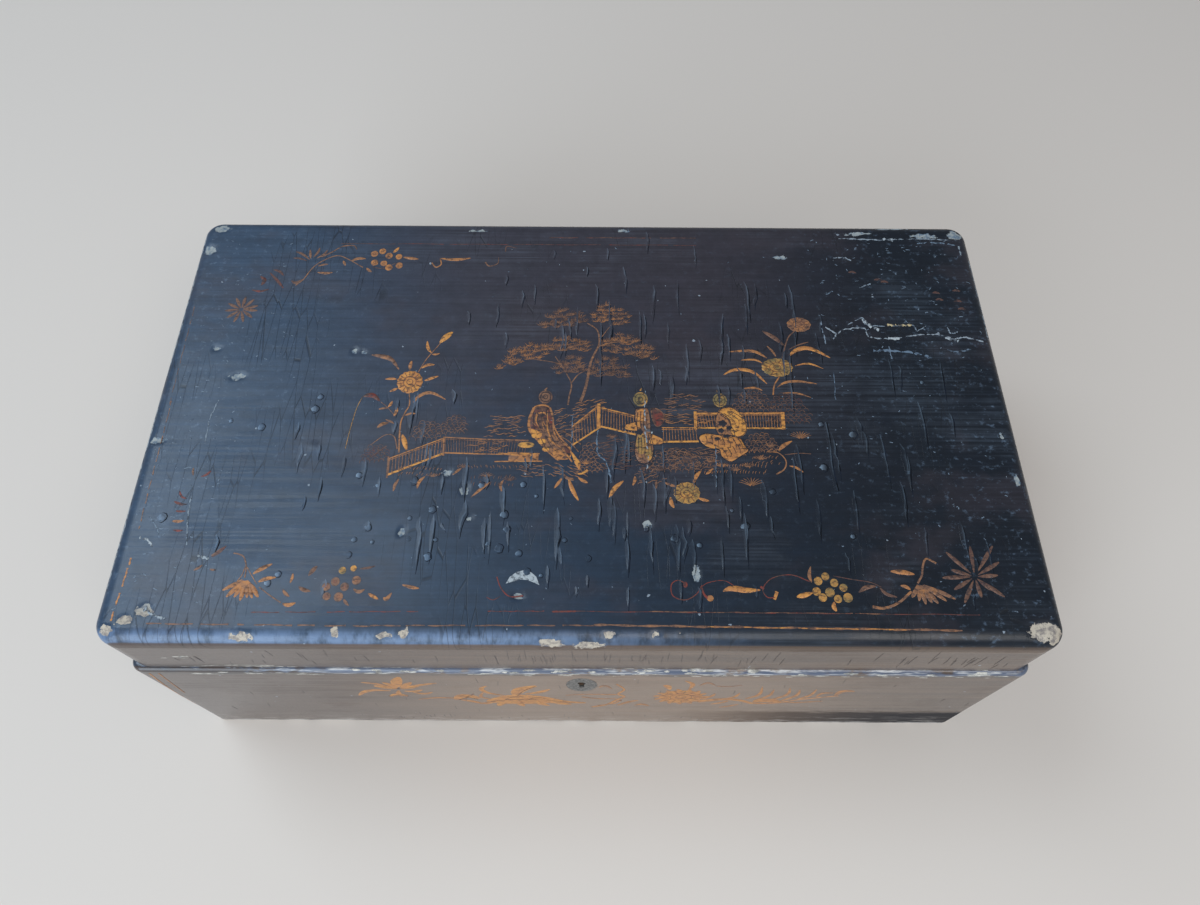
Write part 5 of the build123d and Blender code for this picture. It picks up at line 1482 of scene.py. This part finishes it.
def worn_case(name):
    """Lacquer of the case: a pale broken line along the upper edge, partly wear and partly a painted
    highlight, with a painted shadow line below it; scuffs and pale scrapes along the foot; a warm pale haze
    over the middle of the front; and a dark band low on the right, a painted reflection of the box's shadow
    on the floor, where the coat is also taken off and the surface dulled."""
    material = lacquer(name, bloom=0.7, crazing=0.4)
    tree = material.node_tree
    shader = tree.nodes["Principled BSDF"]
    skin = shader.inputs["Base Color"].links[0].from_socket
    spot = place_in(tree)
    axes = put(tree, "ShaderNodeSeparateXYZ", {0: spot}).outputs
    ragged = grain(tree, spot, (60, 60, 300), 4, 0.7)
    fine = grain(tree, spot, (240, 900, 900), 3, 0.65)
    swing = times(tree, calc(tree, "SUBTRACT", ragged, 0.5), 9 * mm)
    level = plus(tree, axes[2], swing)
    # Painted reflection of shade: a dark band low on the front's right, the box's shadow on the floor as the
    # glossy face would mirror it; the coat is taken off and the surface dulled there too.
    reflected_shadow_band = rest(tree, ramp(tree, plus(tree, level, swing), 24 * mm, 34 * mm))
    reflected_shadow_band = times(tree, reflected_shadow_band, ramp(tree, axes[0], 0.03, 0.12))
    to_front = ramp(tree, times(tree, axes[1], -1.0), 0.1145, 0.1165)
    reflected_shadow_band = times(tree, reflected_shadow_band, to_front)
    skin = blend(tree, times(tree, reflected_shadow_band, 0.9), skin, colour(34, 34, 38))
    middle = calc(tree, "ABSOLUTE", calc(tree, "SUBTRACT", axes[0], 0.02))
    middle = times(tree, rest(tree, ramp(tree, middle, 0.04, 0.16)), to_front)
    skin = blend(tree, times(tree, middle, 0.35), skin, colour(160, 134, 112))
    threads = grain(tree, spot, (70, 70, 1100), 3, 0.65)
    washed = rest(tree, ramp(tree, level, 4 * mm, 26 * mm))
    scraped = times(tree, times(tree, ramp(tree, threads, 0.5, 0.62), washed), ramp(tree, ragged, 0.44, 0.62))
    skin = blend(tree, times(tree, scraped, 0.75), skin, colour(176, 168, 160))
    rim = rest(tree, ramp(tree, level, 2.5 * mm, 5 * mm))
    skin = blend(tree, times(tree, rim, ramp(tree, ragged, 0.4, 0.6)), skin, colour(186, 180, 174))
    shadow_line = times(tree, ramp(tree, level, 102.6 * mm, 104.4 * mm), ramp(tree, ragged, 0.35, 0.55))
    skin = blend(tree, times(tree, shadow_line, 0.75), skin, colour(46, 46, 50))
    # The pale broken line along the upper edge: partly wear, partly a painted highlight, wider towards the
    # left.
    frayed = plus(tree, level, times(tree, fine, 1.6 * mm))
    highlight_to_left = ramp(tree, times(tree, axes[0], -1.0), 0.10, 0.20)
    frayed = calc(tree, "SUBTRACT", frayed, times(tree, highlight_to_left, 3 * mm))
    rubbed = times(tree, ramp(tree, frayed, 106.4 * mm, 107.2 * mm), ramp(tree, ragged, 0.36, 0.5))
    rubbed = times(tree, rubbed, to_front)
    pale = blend(tree, ramp(tree, threads, 0.5, 0.64), colour(84, 94, 114), colour(188, 188, 188))
    skin = blend(tree, times(tree, rubbed, 0.9), skin, pale)
    tree.links.new(skin, shader.inputs["Base Color"])
    outside_shadow_band = rest(tree, reflected_shadow_band)
    tree.links.new(times(tree, outside_shadow_band, 0.6), shader.inputs["Coat Weight"])
    gloss = shader.inputs["Roughness"].links[0].from_socket
    tree.links.new(plus(tree, gloss, times(tree, reflected_shadow_band, 0.5), True), shader.inputs["Roughness"])
    return material


case_lacquer = worn_case("case_lacquer")


def coated(name, piece_name):
    """Replace a wall of the case with a merged copy of its mesh, drawn in by the thickness of gilding.
    A point further out from the box's inner core than core_margin moves back along its distance from the
    core; the back face stays, because the hinges are let into it."""
    mesh = nodes[name].data
    points = np.empty(len(mesh.vertices) * 3, np.float32)
    mesh.vertices.foreach_get("co", points)
    points = points.reshape(-1, 3).astype(float) / mm
    corners = np.empty(len(mesh.polygons) * 3, np.int32)
    mesh.polygons.foreach_get("vertices", corners)
    core = case_high[:2] - case_radius
    out = points[:, :2] - np.clip(points[:, :2], -core, core)
    reach = np.linalg.norm(out, axis=1, keepdims=True)
    shift = np.where(reach > core_margin, coat_inset * out / (reach + 1e-9), 0)
    shift[points[:, 1] > 0, 1] = 0
    points[:, :2] -= shift
    piece = build(piece_name, points, corners.reshape(-1, 3), case_lacquer, "case")
    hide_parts(name)


coated("case_front_board", "case_front_coat")
coated("case_back_board", "case_back_coat")
coated("case_left_end", "case_left_coat")
coated("case_right_end", "case_right_coat")


def on_front(points):
    """From places on the case's front, x and z, and heights over it to points of the box: past the flat
    the distance runs on round the corner's arc."""
    turn_radius = case_radius - coat_inset
    past = np.maximum(np.abs(points[:, 0]) - (case_high[0] - case_radius), 0)
    angle = past / turn_radius
    out = turn_radius + points[:, 2]
    x = np.sign(points[:, 0]) * (np.abs(points[:, 0]) - past + out * np.sin(angle))
    return np.stack([x, front_face + turn_radius - out * np.cos(angle), points[:, 1]], -1)


def on_arris(points):
    """From x, a distance up round the case's upper front edge, and a height over it to points of the box:
    below nought it is the flat face, above it the quarter round."""
    angle = np.clip(points[:, 1] / arris_radius, 0, pi / 2)
    straight = np.minimum(points[:, 1], 0)
    y = front_face + arris_radius - (arris_radius + points[:, 2]) * np.cos(angle)
    z = arris_foot + straight + (arris_radius + points[:, 2]) * np.sin(angle)
    return np.stack([points[:, 0], y, z], -1)


def chips(count, low, high, length, height, seed):
    """Ragged flat patches of gesso: ovals whose rims are shaken."""
    dice = np.random.default_rng(seed)
    marks = []
    for middle in dice.uniform(low, high, (count, 2)):
        size = dice.uniform(0.3, 1)
        patch = oval(middle, length * size, height * (0.5 + size / 2), count=18)
        patch = middle + (patch - middle) * dice.uniform(0.6, 1.25, (18, 1))
        marks.append(pad(patch, dice.uniform(0, 1), 0.05))
    return marks


chipped, tree, shader = new_material("chipped_gesso")
spot = place_in(tree)
dirt = ramp(tree, grain(tree, spot, (300, 700, 700), 4, 0.7), 0.38, 0.62)
chip_colour = blend(tree, dirt, colour(120, 118, 112), colour(206, 202, 192))
tree.links.new(chip_colour, shader.inputs["Base Color"])
shader.inputs["Roughness"].default_value = 0.75
seam_chips = chips(60, (-110, -1), (200, 3), 3.6, 0.7, 71)
seam_chips += chips(26, (-40, -3.2), (200, -0.6), 2.6, 0.5, 72)
seam_chips += chips(14, (-184, -2.5), (-120, 0.5), 5, 0.6, 73)
lay("case_seam_chips", seam_chips, on_arris, chipped, "case")
band_chips = [line([(-181, 110.4), (-165, 112.6), (-146, 112.8), (-138, 110.2)], 1.1, 0.5, 0.4, 1, 0.05),
              line([(-160, 110), (-150, 110.8), (-141, 110)], 0.7, 0.5, 0.5, 0.6, 0.05)]
band_chips += chips(16, (-185, 109.8), (200, 110.6), 4, 0.35, 74)
band_chips += chips(5, (-190, 124), (-176, 128), 2.6, 0.5, 75)
lay("lid_band_chips", band_chips, on_band, chipped, "lid")
front_checks = [checks(26, (-200, 8), (205, 90), 14, 76, 0.3),
                checks(30, (-120, 2), (110, 14), 9, 77, 0.35)]
lay("case_front_checks", front_checks, on_front, check_lacquer, "case")


# Gilding of the case's front: an open flower, a great lobed leaf, scrolls round the keyhole, a round
# blossom and a long feathered frond, all in gold made paler and greyer by a painted reflection of the floor.
gold_under_floor_reflection = worn_gold("gold_under_floor_reflection", wear=0.5, mottling=0.5, reflection_veil=0.14)
front_gold = []
for points, width, tone in (
    ([(-91, 78), (-89.5, 90), (-86, 101)], 7, 0.6), ([(-94, 80), (-100, 86), (-108, 89.4)], 2.6, 0.55),
    ([(-87, 80), (-79, 84), (-69, 89)], 3.4, 0.6), ([(-91, 76), (-97, 79), (-102.6, 83)], 6, 0.62),
    ([(-91, 76), (-86, 79), (-79.4, 82.6)], 6, 0.62), ([(-92, 76), (-93, 83), (-97, 90)], 5, 0.6),
    ([(-90, 76), (-86, 84), (-82, 90)], 4.6, 0.6),
    ([(-94, 72), (-104, 73), (-110, 69), (-115, 60)], 4.4, 0.58),
    ([(-88.5, 60), (-94, 64.5), (-99.6, 59)], 4.2, 0.6), ([(-86, 70), (-80, 66), (-74.5, 70.4)], 3, 0.55),
    ([(-92, 60), (-93, 66), (-91.5, 74)], 3.4, 0.58), ([(-90, 72), (-84, 71), (-79, 75)], 3.4, 0.58),
    ([(-87, 53), (-75, 57.5), (-63, 56.5)], 2.4, 0.5), ([(-67, 52), (-60, 62), (-52, 55)], 9, 0.58),
    ([(-64, 54), (-58, 50), (-52, 44)], 4, 0.55), ([(-46.5, 54), (-52, 60), (-49.5, 71)], 2.4, 0.5),
    ([(-38, 62), (-47, 68), (-50, 77), (-46, 84)], 3.4, 0.6), ([(-35, 60), (-31, 75), (-21, 85)], 8.5, 0.6),
    ([(-30, 66), (-22, 70), (-15, 78)], 4.4, 0.6), ([(-44, 52), (-50, 46), (-55, 44.5)], 4.4, 0.58),
    ([(-39, 52), (-43, 45), (-45, 38.5)], 5, 0.62), ([(-32, 52), (-33, 45), (-31, 38)], 5, 0.58),
    ([(-24, 53), (-22, 45), (-17, 40)], 5, 0.62), ([(-17, 52), (-12, 46), (-5, 43.5)], 4.4, 0.6),
    ([(-13, 50.5), (-5, 48.6), (3, 47.2)], 4, 0.56), ([(8, 80), (11.4, 84.6), (15.4, 77)], 2.6, 0.4),
    ([(17.6, 40.6), (23.7, 49.7), (30, 54.4)], 3.4, 0.5), ([(27, 41.4), (31.2, 45), (35.8, 40.4)], 3, 0.52),
    ([(44, 76), (42, 84), (39.4, 86)], 4.4, 0.58), ([(53, 76), (54, 88), (49, 96)], 3, 0.56),
    ([(128, 65), (130, 75.5), (137, 75)], 4.6, 0.5), ([(119, 62), (121, 71), (127, 72)], 2.8, 0.5),
    ([(88, 50), (96, 55), (105, 48.6)], 9.5, 0.56), ([(72, 38), (77, 41), (83, 47)], 2.2, 0.5),
    ([(102, 52), (112, 50.6), (127, 55)], 2.2, 0.5), ([(57, 84), (61, 91.4), (66, 85)], 2.2, 0.4),
):
    front_gold.append(leaf(points, width, tone, 0.5, 0.08))
broad_leaf = [(-51, 50), (-46, 58), (-38, 64), (-29, 65), (-19, 61), (-11, 54.5),
              (-3, 47), (-14, 46.5), (-26, 44.5), (-38, 44.5), (-46, 46)]
front_gold += [
    pad(ring_round(broad_leaf), 0.6, 0.08), line([(-8.3, 64.5), (1.1, 66.5), (17.4, 66.3)], 1.3, 0.48),
    line([(-0.2, 60.9), (9.3, 57), (17.6, 57.8)], 1.2, 0.48),
    line([(17, 88), (21, 77), (18.2, 67.5), (21.4, 62.1), (17.6, 54.3), (13, 44.2), (5, 38)],
         2.4, 0.56, 0.5, 1),
    line([(-61, 50), (-59.5, 58), (-55, 66)], 0.7, 0.3),
    line([(60, 52), (72, 57), (80.6, 55.5), (88.6, 48.3)], 3.6, 0.56, 1.6, 0.8),
    line([(88.6, 48.3), (96.6, 48.1), (102.8, 50.6), (111.3, 56.8), (121, 62), (130, 66)], 1.8, 0.54, 1, 0.6),
    line([(66, 85), (72, 84), (78, 87)], 0.9, 0.36),
    line([(-202.5, 104), (-206, 70), (-208.6, 30)], 0.8, 0.5),
    line([(-198, 104), (-200, 84), (-201.5, 66)], 0.7, 0.46),
    line([(8, 42), (16, 46), (20, 54)], 1.6, 0.5, 0.4, 1),
]
frond_tips = (
    ((83, 57), (89.5, 68), (88, 88.4)), ((88, 52), (95, 66), (95.2, 81)), ((96, 54), (103.6, 68), (102, 85)),
    ((102, 52), (108.6, 66), (108, 80.4)), ((110, 56), (115.6, 67), (116.2, 81.6)),
    ((62, 58), (66, 64), (67.4, 71.4)), ((73, 57), (78, 63), (79.6, 72.8)), ((76, 54), (72, 49), (66, 45)),
)
front_gold += [leaf(tip, 2.6, 0.54, 0.35, 0.08) for tip in frond_tips]
blossom = (50.4, 62)
front_gold += flower(blossom, 11.0, 13.0, 0.58, 13)
for a in np.linspace(0, 6, 15):
    ray = [(8 * cos(a), 9 * sin(a)), (11.5 * cos(a), 13 * sin(a)), (14.5 * cos(a + 0.1), 17 * sin(a + 0.1))]
    front_gold.append(leaf(np.array(blossom) + ray, 3.2, 0.55, 0.5, 0.08))
gild("case_gold_ornament", front_gold, on_front, "case", gold_under_floor_reflection)
veins = [
    line([(-48, 50), (-35, 55), (-20, 54), (-6, 48)], 0.6, 0, 1, 0.5, 0.14),
    line([(-33, 63), (-29, 74), (-23, 82)], 0.5, 0, 1, 0.5, 0.14),
    line([(-40, 54), (-37, 59), (-30, 62)], 0.5, 0, 1, 0.5, 0.14),
    line([(-28, 55), (-25, 58), (-19, 58.5)], 0.5, 0, 1, 0.5, 0.14),
    line([(-64, 53), (-59, 58.5), (-54, 55)], 0.5, 0, 1, 0.5, 0.12),
    line([(-101, 81), (-91, 77), (-81, 81)], 0.7, 0, 1, 0.6, 0.12),
    line([(-99, 61), (-94, 63), (-89, 61)], 0.5, 0, 1, 0.6, 0.12),
]
lay("case_vein_lines", veins, on_front, ink, "case")


# Metal fittings: brass hinges, lock and knobs dulled brown, the key's small oval plate painted over and
# worn, and iron for the bolt and pins. All share one tarnish, darker where hands don't rub.
tarnish, tarnish_in, tarnish_out = new_group(
    "tarnish", (("Dullness", 0.5), ("Grain", 300.0)),
    (("Mask", "NodeSocketFloat"), ("Roughness", "NodeSocketFloat"), ("Height", "NodeSocketFloat")),
)
spot = place_in(tarnish)
cloud_inputs = {"Vector": spot, "Scale": tarnish_in.outputs["Grain"], "Detail": 5.0, "Roughness": 0.65}
cloudy = put(tarnish, "ShaderNodeTexNoise", cloud_inputs).outputs["Fac"]
scratch = grain(tarnish, spot, (60, 900, 900), 3)
stained = times(tarnish, ramp(tarnish, cloudy, 0.36, 0.66), tarnish_in.outputs["Dullness"], True)
dulled = plus(tarnish, stained, times(tarnish, scratch, 0.3))
dulled = plus(tarnish, 0.3, times(tarnish, dulled, 0.4))
uneven = plus(tarnish, cloudy, times(tarnish, scratch, 0.5))
for label, value in (("Mask", stained), ("Roughness", dulled), ("Height", uneven)):
    tarnish.links.new(value, tarnish_out.inputs[label])


def metal(name, bright, stain, dullness, metallic=0.9, grain_scale=300.0):
    """A metal: its bright colour, the colour of its stain, and how much of it is stained."""
    material, tree, shader = new_material(name)
    worn = put(tree, "ShaderNodeGroup", node_tree=tarnish)
    worn.inputs["Dullness"].default_value = dullness
    worn.inputs["Grain"].default_value = grain_scale
    relief = {"Height": worn.outputs["Height"], "Strength": 0.25, "Distance": 0.08 * mm}
    bump = put(tree, "ShaderNodeBump", relief)
    tree.links.new(blend(tree, worn.outputs["Mask"], bright, stain), shader.inputs["Base Color"])
    tree.links.new(worn.outputs["Roughness"], shader.inputs["Roughness"])
    tree.links.new(bump.outputs[0], shader.inputs["Normal"])
    shader.inputs["Metallic"].default_value = metallic
    return material


brass = metal("dull_brass", colour(196, 160, 96), colour(108, 82, 50), 0.75)
rubbed_brass = metal("rubbed_brass", colour(214, 178, 108), colour(140, 104, 58), 0.5)
iron = metal("dark_iron", colour(112, 108, 104), colour(62, 46, 38), 0.8)
painted_plate = metal("painted_plate", colour(116, 114, 110), colour(72, 70, 70), 0.9, 0.2, 700.0)
for name, material in (
    ("hinge_lower_leaf_left", brass), ("hinge_lower_leaf_right", brass), ("hinge_upper_leaf_left", brass),
    ("hinge_upper_leaf_right", brass), ("hinge_lower_screws", rubbed_brass),
    ("hinge_upper_screws", rubbed_brass),
    ("lock_plate", brass), ("lock_cap", brass), ("lock_screws", rubbed_brass), ("link_plate", brass),
    ("link_plate_screws", rubbed_brass), ("tray_knobs", rubbed_brass), ("hinge_pin_left", iron),
    ("hinge_pin_right", iron), ("lock_bolt", iron), ("lock_bolt_stump", iron), ("lock_key_pin", iron),
    ("escutcheon", painted_plate), ("escutcheon_pins", painted_plate),
):
    finish_node(name, material)


# Bottom board: plain softwood planed across, stained and thinly lacquered. It is let into the lower edges
# of the walls and held by split bamboo pegs that go up into them.
def sawn_wood(name, early, late, length_axis, thin_coat):
    """Wood: rings drawn out along the board's length, pores, and a thin uneven coat."""
    material, tree, shader = new_material(name)
    spot = place_in(tree)
    along_grain = [130, 130, 130]
    along_grain[length_axis] = 7
    figure = grain(tree, spot, along_grain, 4, 0.6)
    along_grain = [900, 900, 900]
    along_grain[length_axis] = 40
    pores = grain(tree, spot, along_grain, 2, 0.6)
    wood = blend(tree, ramp(tree, figure, 0.4, 0.6), early, late)
    wood = blend(tree, times(tree, ramp(tree, pores, 0.55, 0.75), 0.5), wood, colour(40, 26, 16))
    coat = ramp(tree, grain(tree, spot, (30, 30, 30), 4, 0.65), 0.35, 0.7)
    wood = blend(tree, times(tree, coat, thin_coat), wood, colour(34, 28, 26))
    relief = {"Height": plus(tree, figure, pores), "Strength": 0.3, "Distance": 0.2 * mm}
    bump = put(tree, "ShaderNodeBump", relief)
    tree.links.new(wood, shader.inputs["Base Color"])
    tree.links.new(bump.outputs[0], shader.inputs["Normal"])
    shader.inputs["Roughness"].default_value = 0.62
    return material


softwood = sawn_wood("bottom_softwood", colour(132, 98, 66), colour(96, 66, 42), 0, 0.75)
bamboo = sawn_wood("split_bamboo", colour(204, 170, 110), colour(176, 138, 84), 2, 0.15)
finish_node("case_bottom_board", softwood)
finish_node("bottom_board_pegs", bamboo)


# Inside: the tray and the two strips that carry it have kept their coat, a smooth black with fine dust,
# and thin gold lines run along the tray's upper edges.
tray_lacquer = lacquer("tray_lacquer", fading_and_sheen=0.25, bloom=0.25, crazing=0.15, floor_reflection=0.0)
tray_walls = ("tray_front_side", "tray_back_side", "tray_left_end", "tray_right_end", "tray_left_bay_wall",
              "tray_right_bay_wall", "tray_left_row_divider", "tray_right_row_divider",
              "tray_middle_row_divider")
for name in ("tray_bearer_left", "tray_bearer_right", "tray_bottom", *tray_walls):
    finish_node(name, tray_lacquer)

tray_gold = []
for name in tray_walls:
    low, high = (np.array(corner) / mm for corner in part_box(name))
    centre = (low + high) / 2
    reach = np.where(high[:2] - low[:2] > 8, (high[:2] - low[:2]) / 2 - 1.5, 0)
    points, faces, tone = line([centre[:2] - reach, centre[:2] + reach], 0.6, 0.6, lift=0.06)
    tray_gold.append((points + (0, 0, high[2]), faces, tone))
gild("tray_gold_lines", tray_gold, np.asarray, "tray")
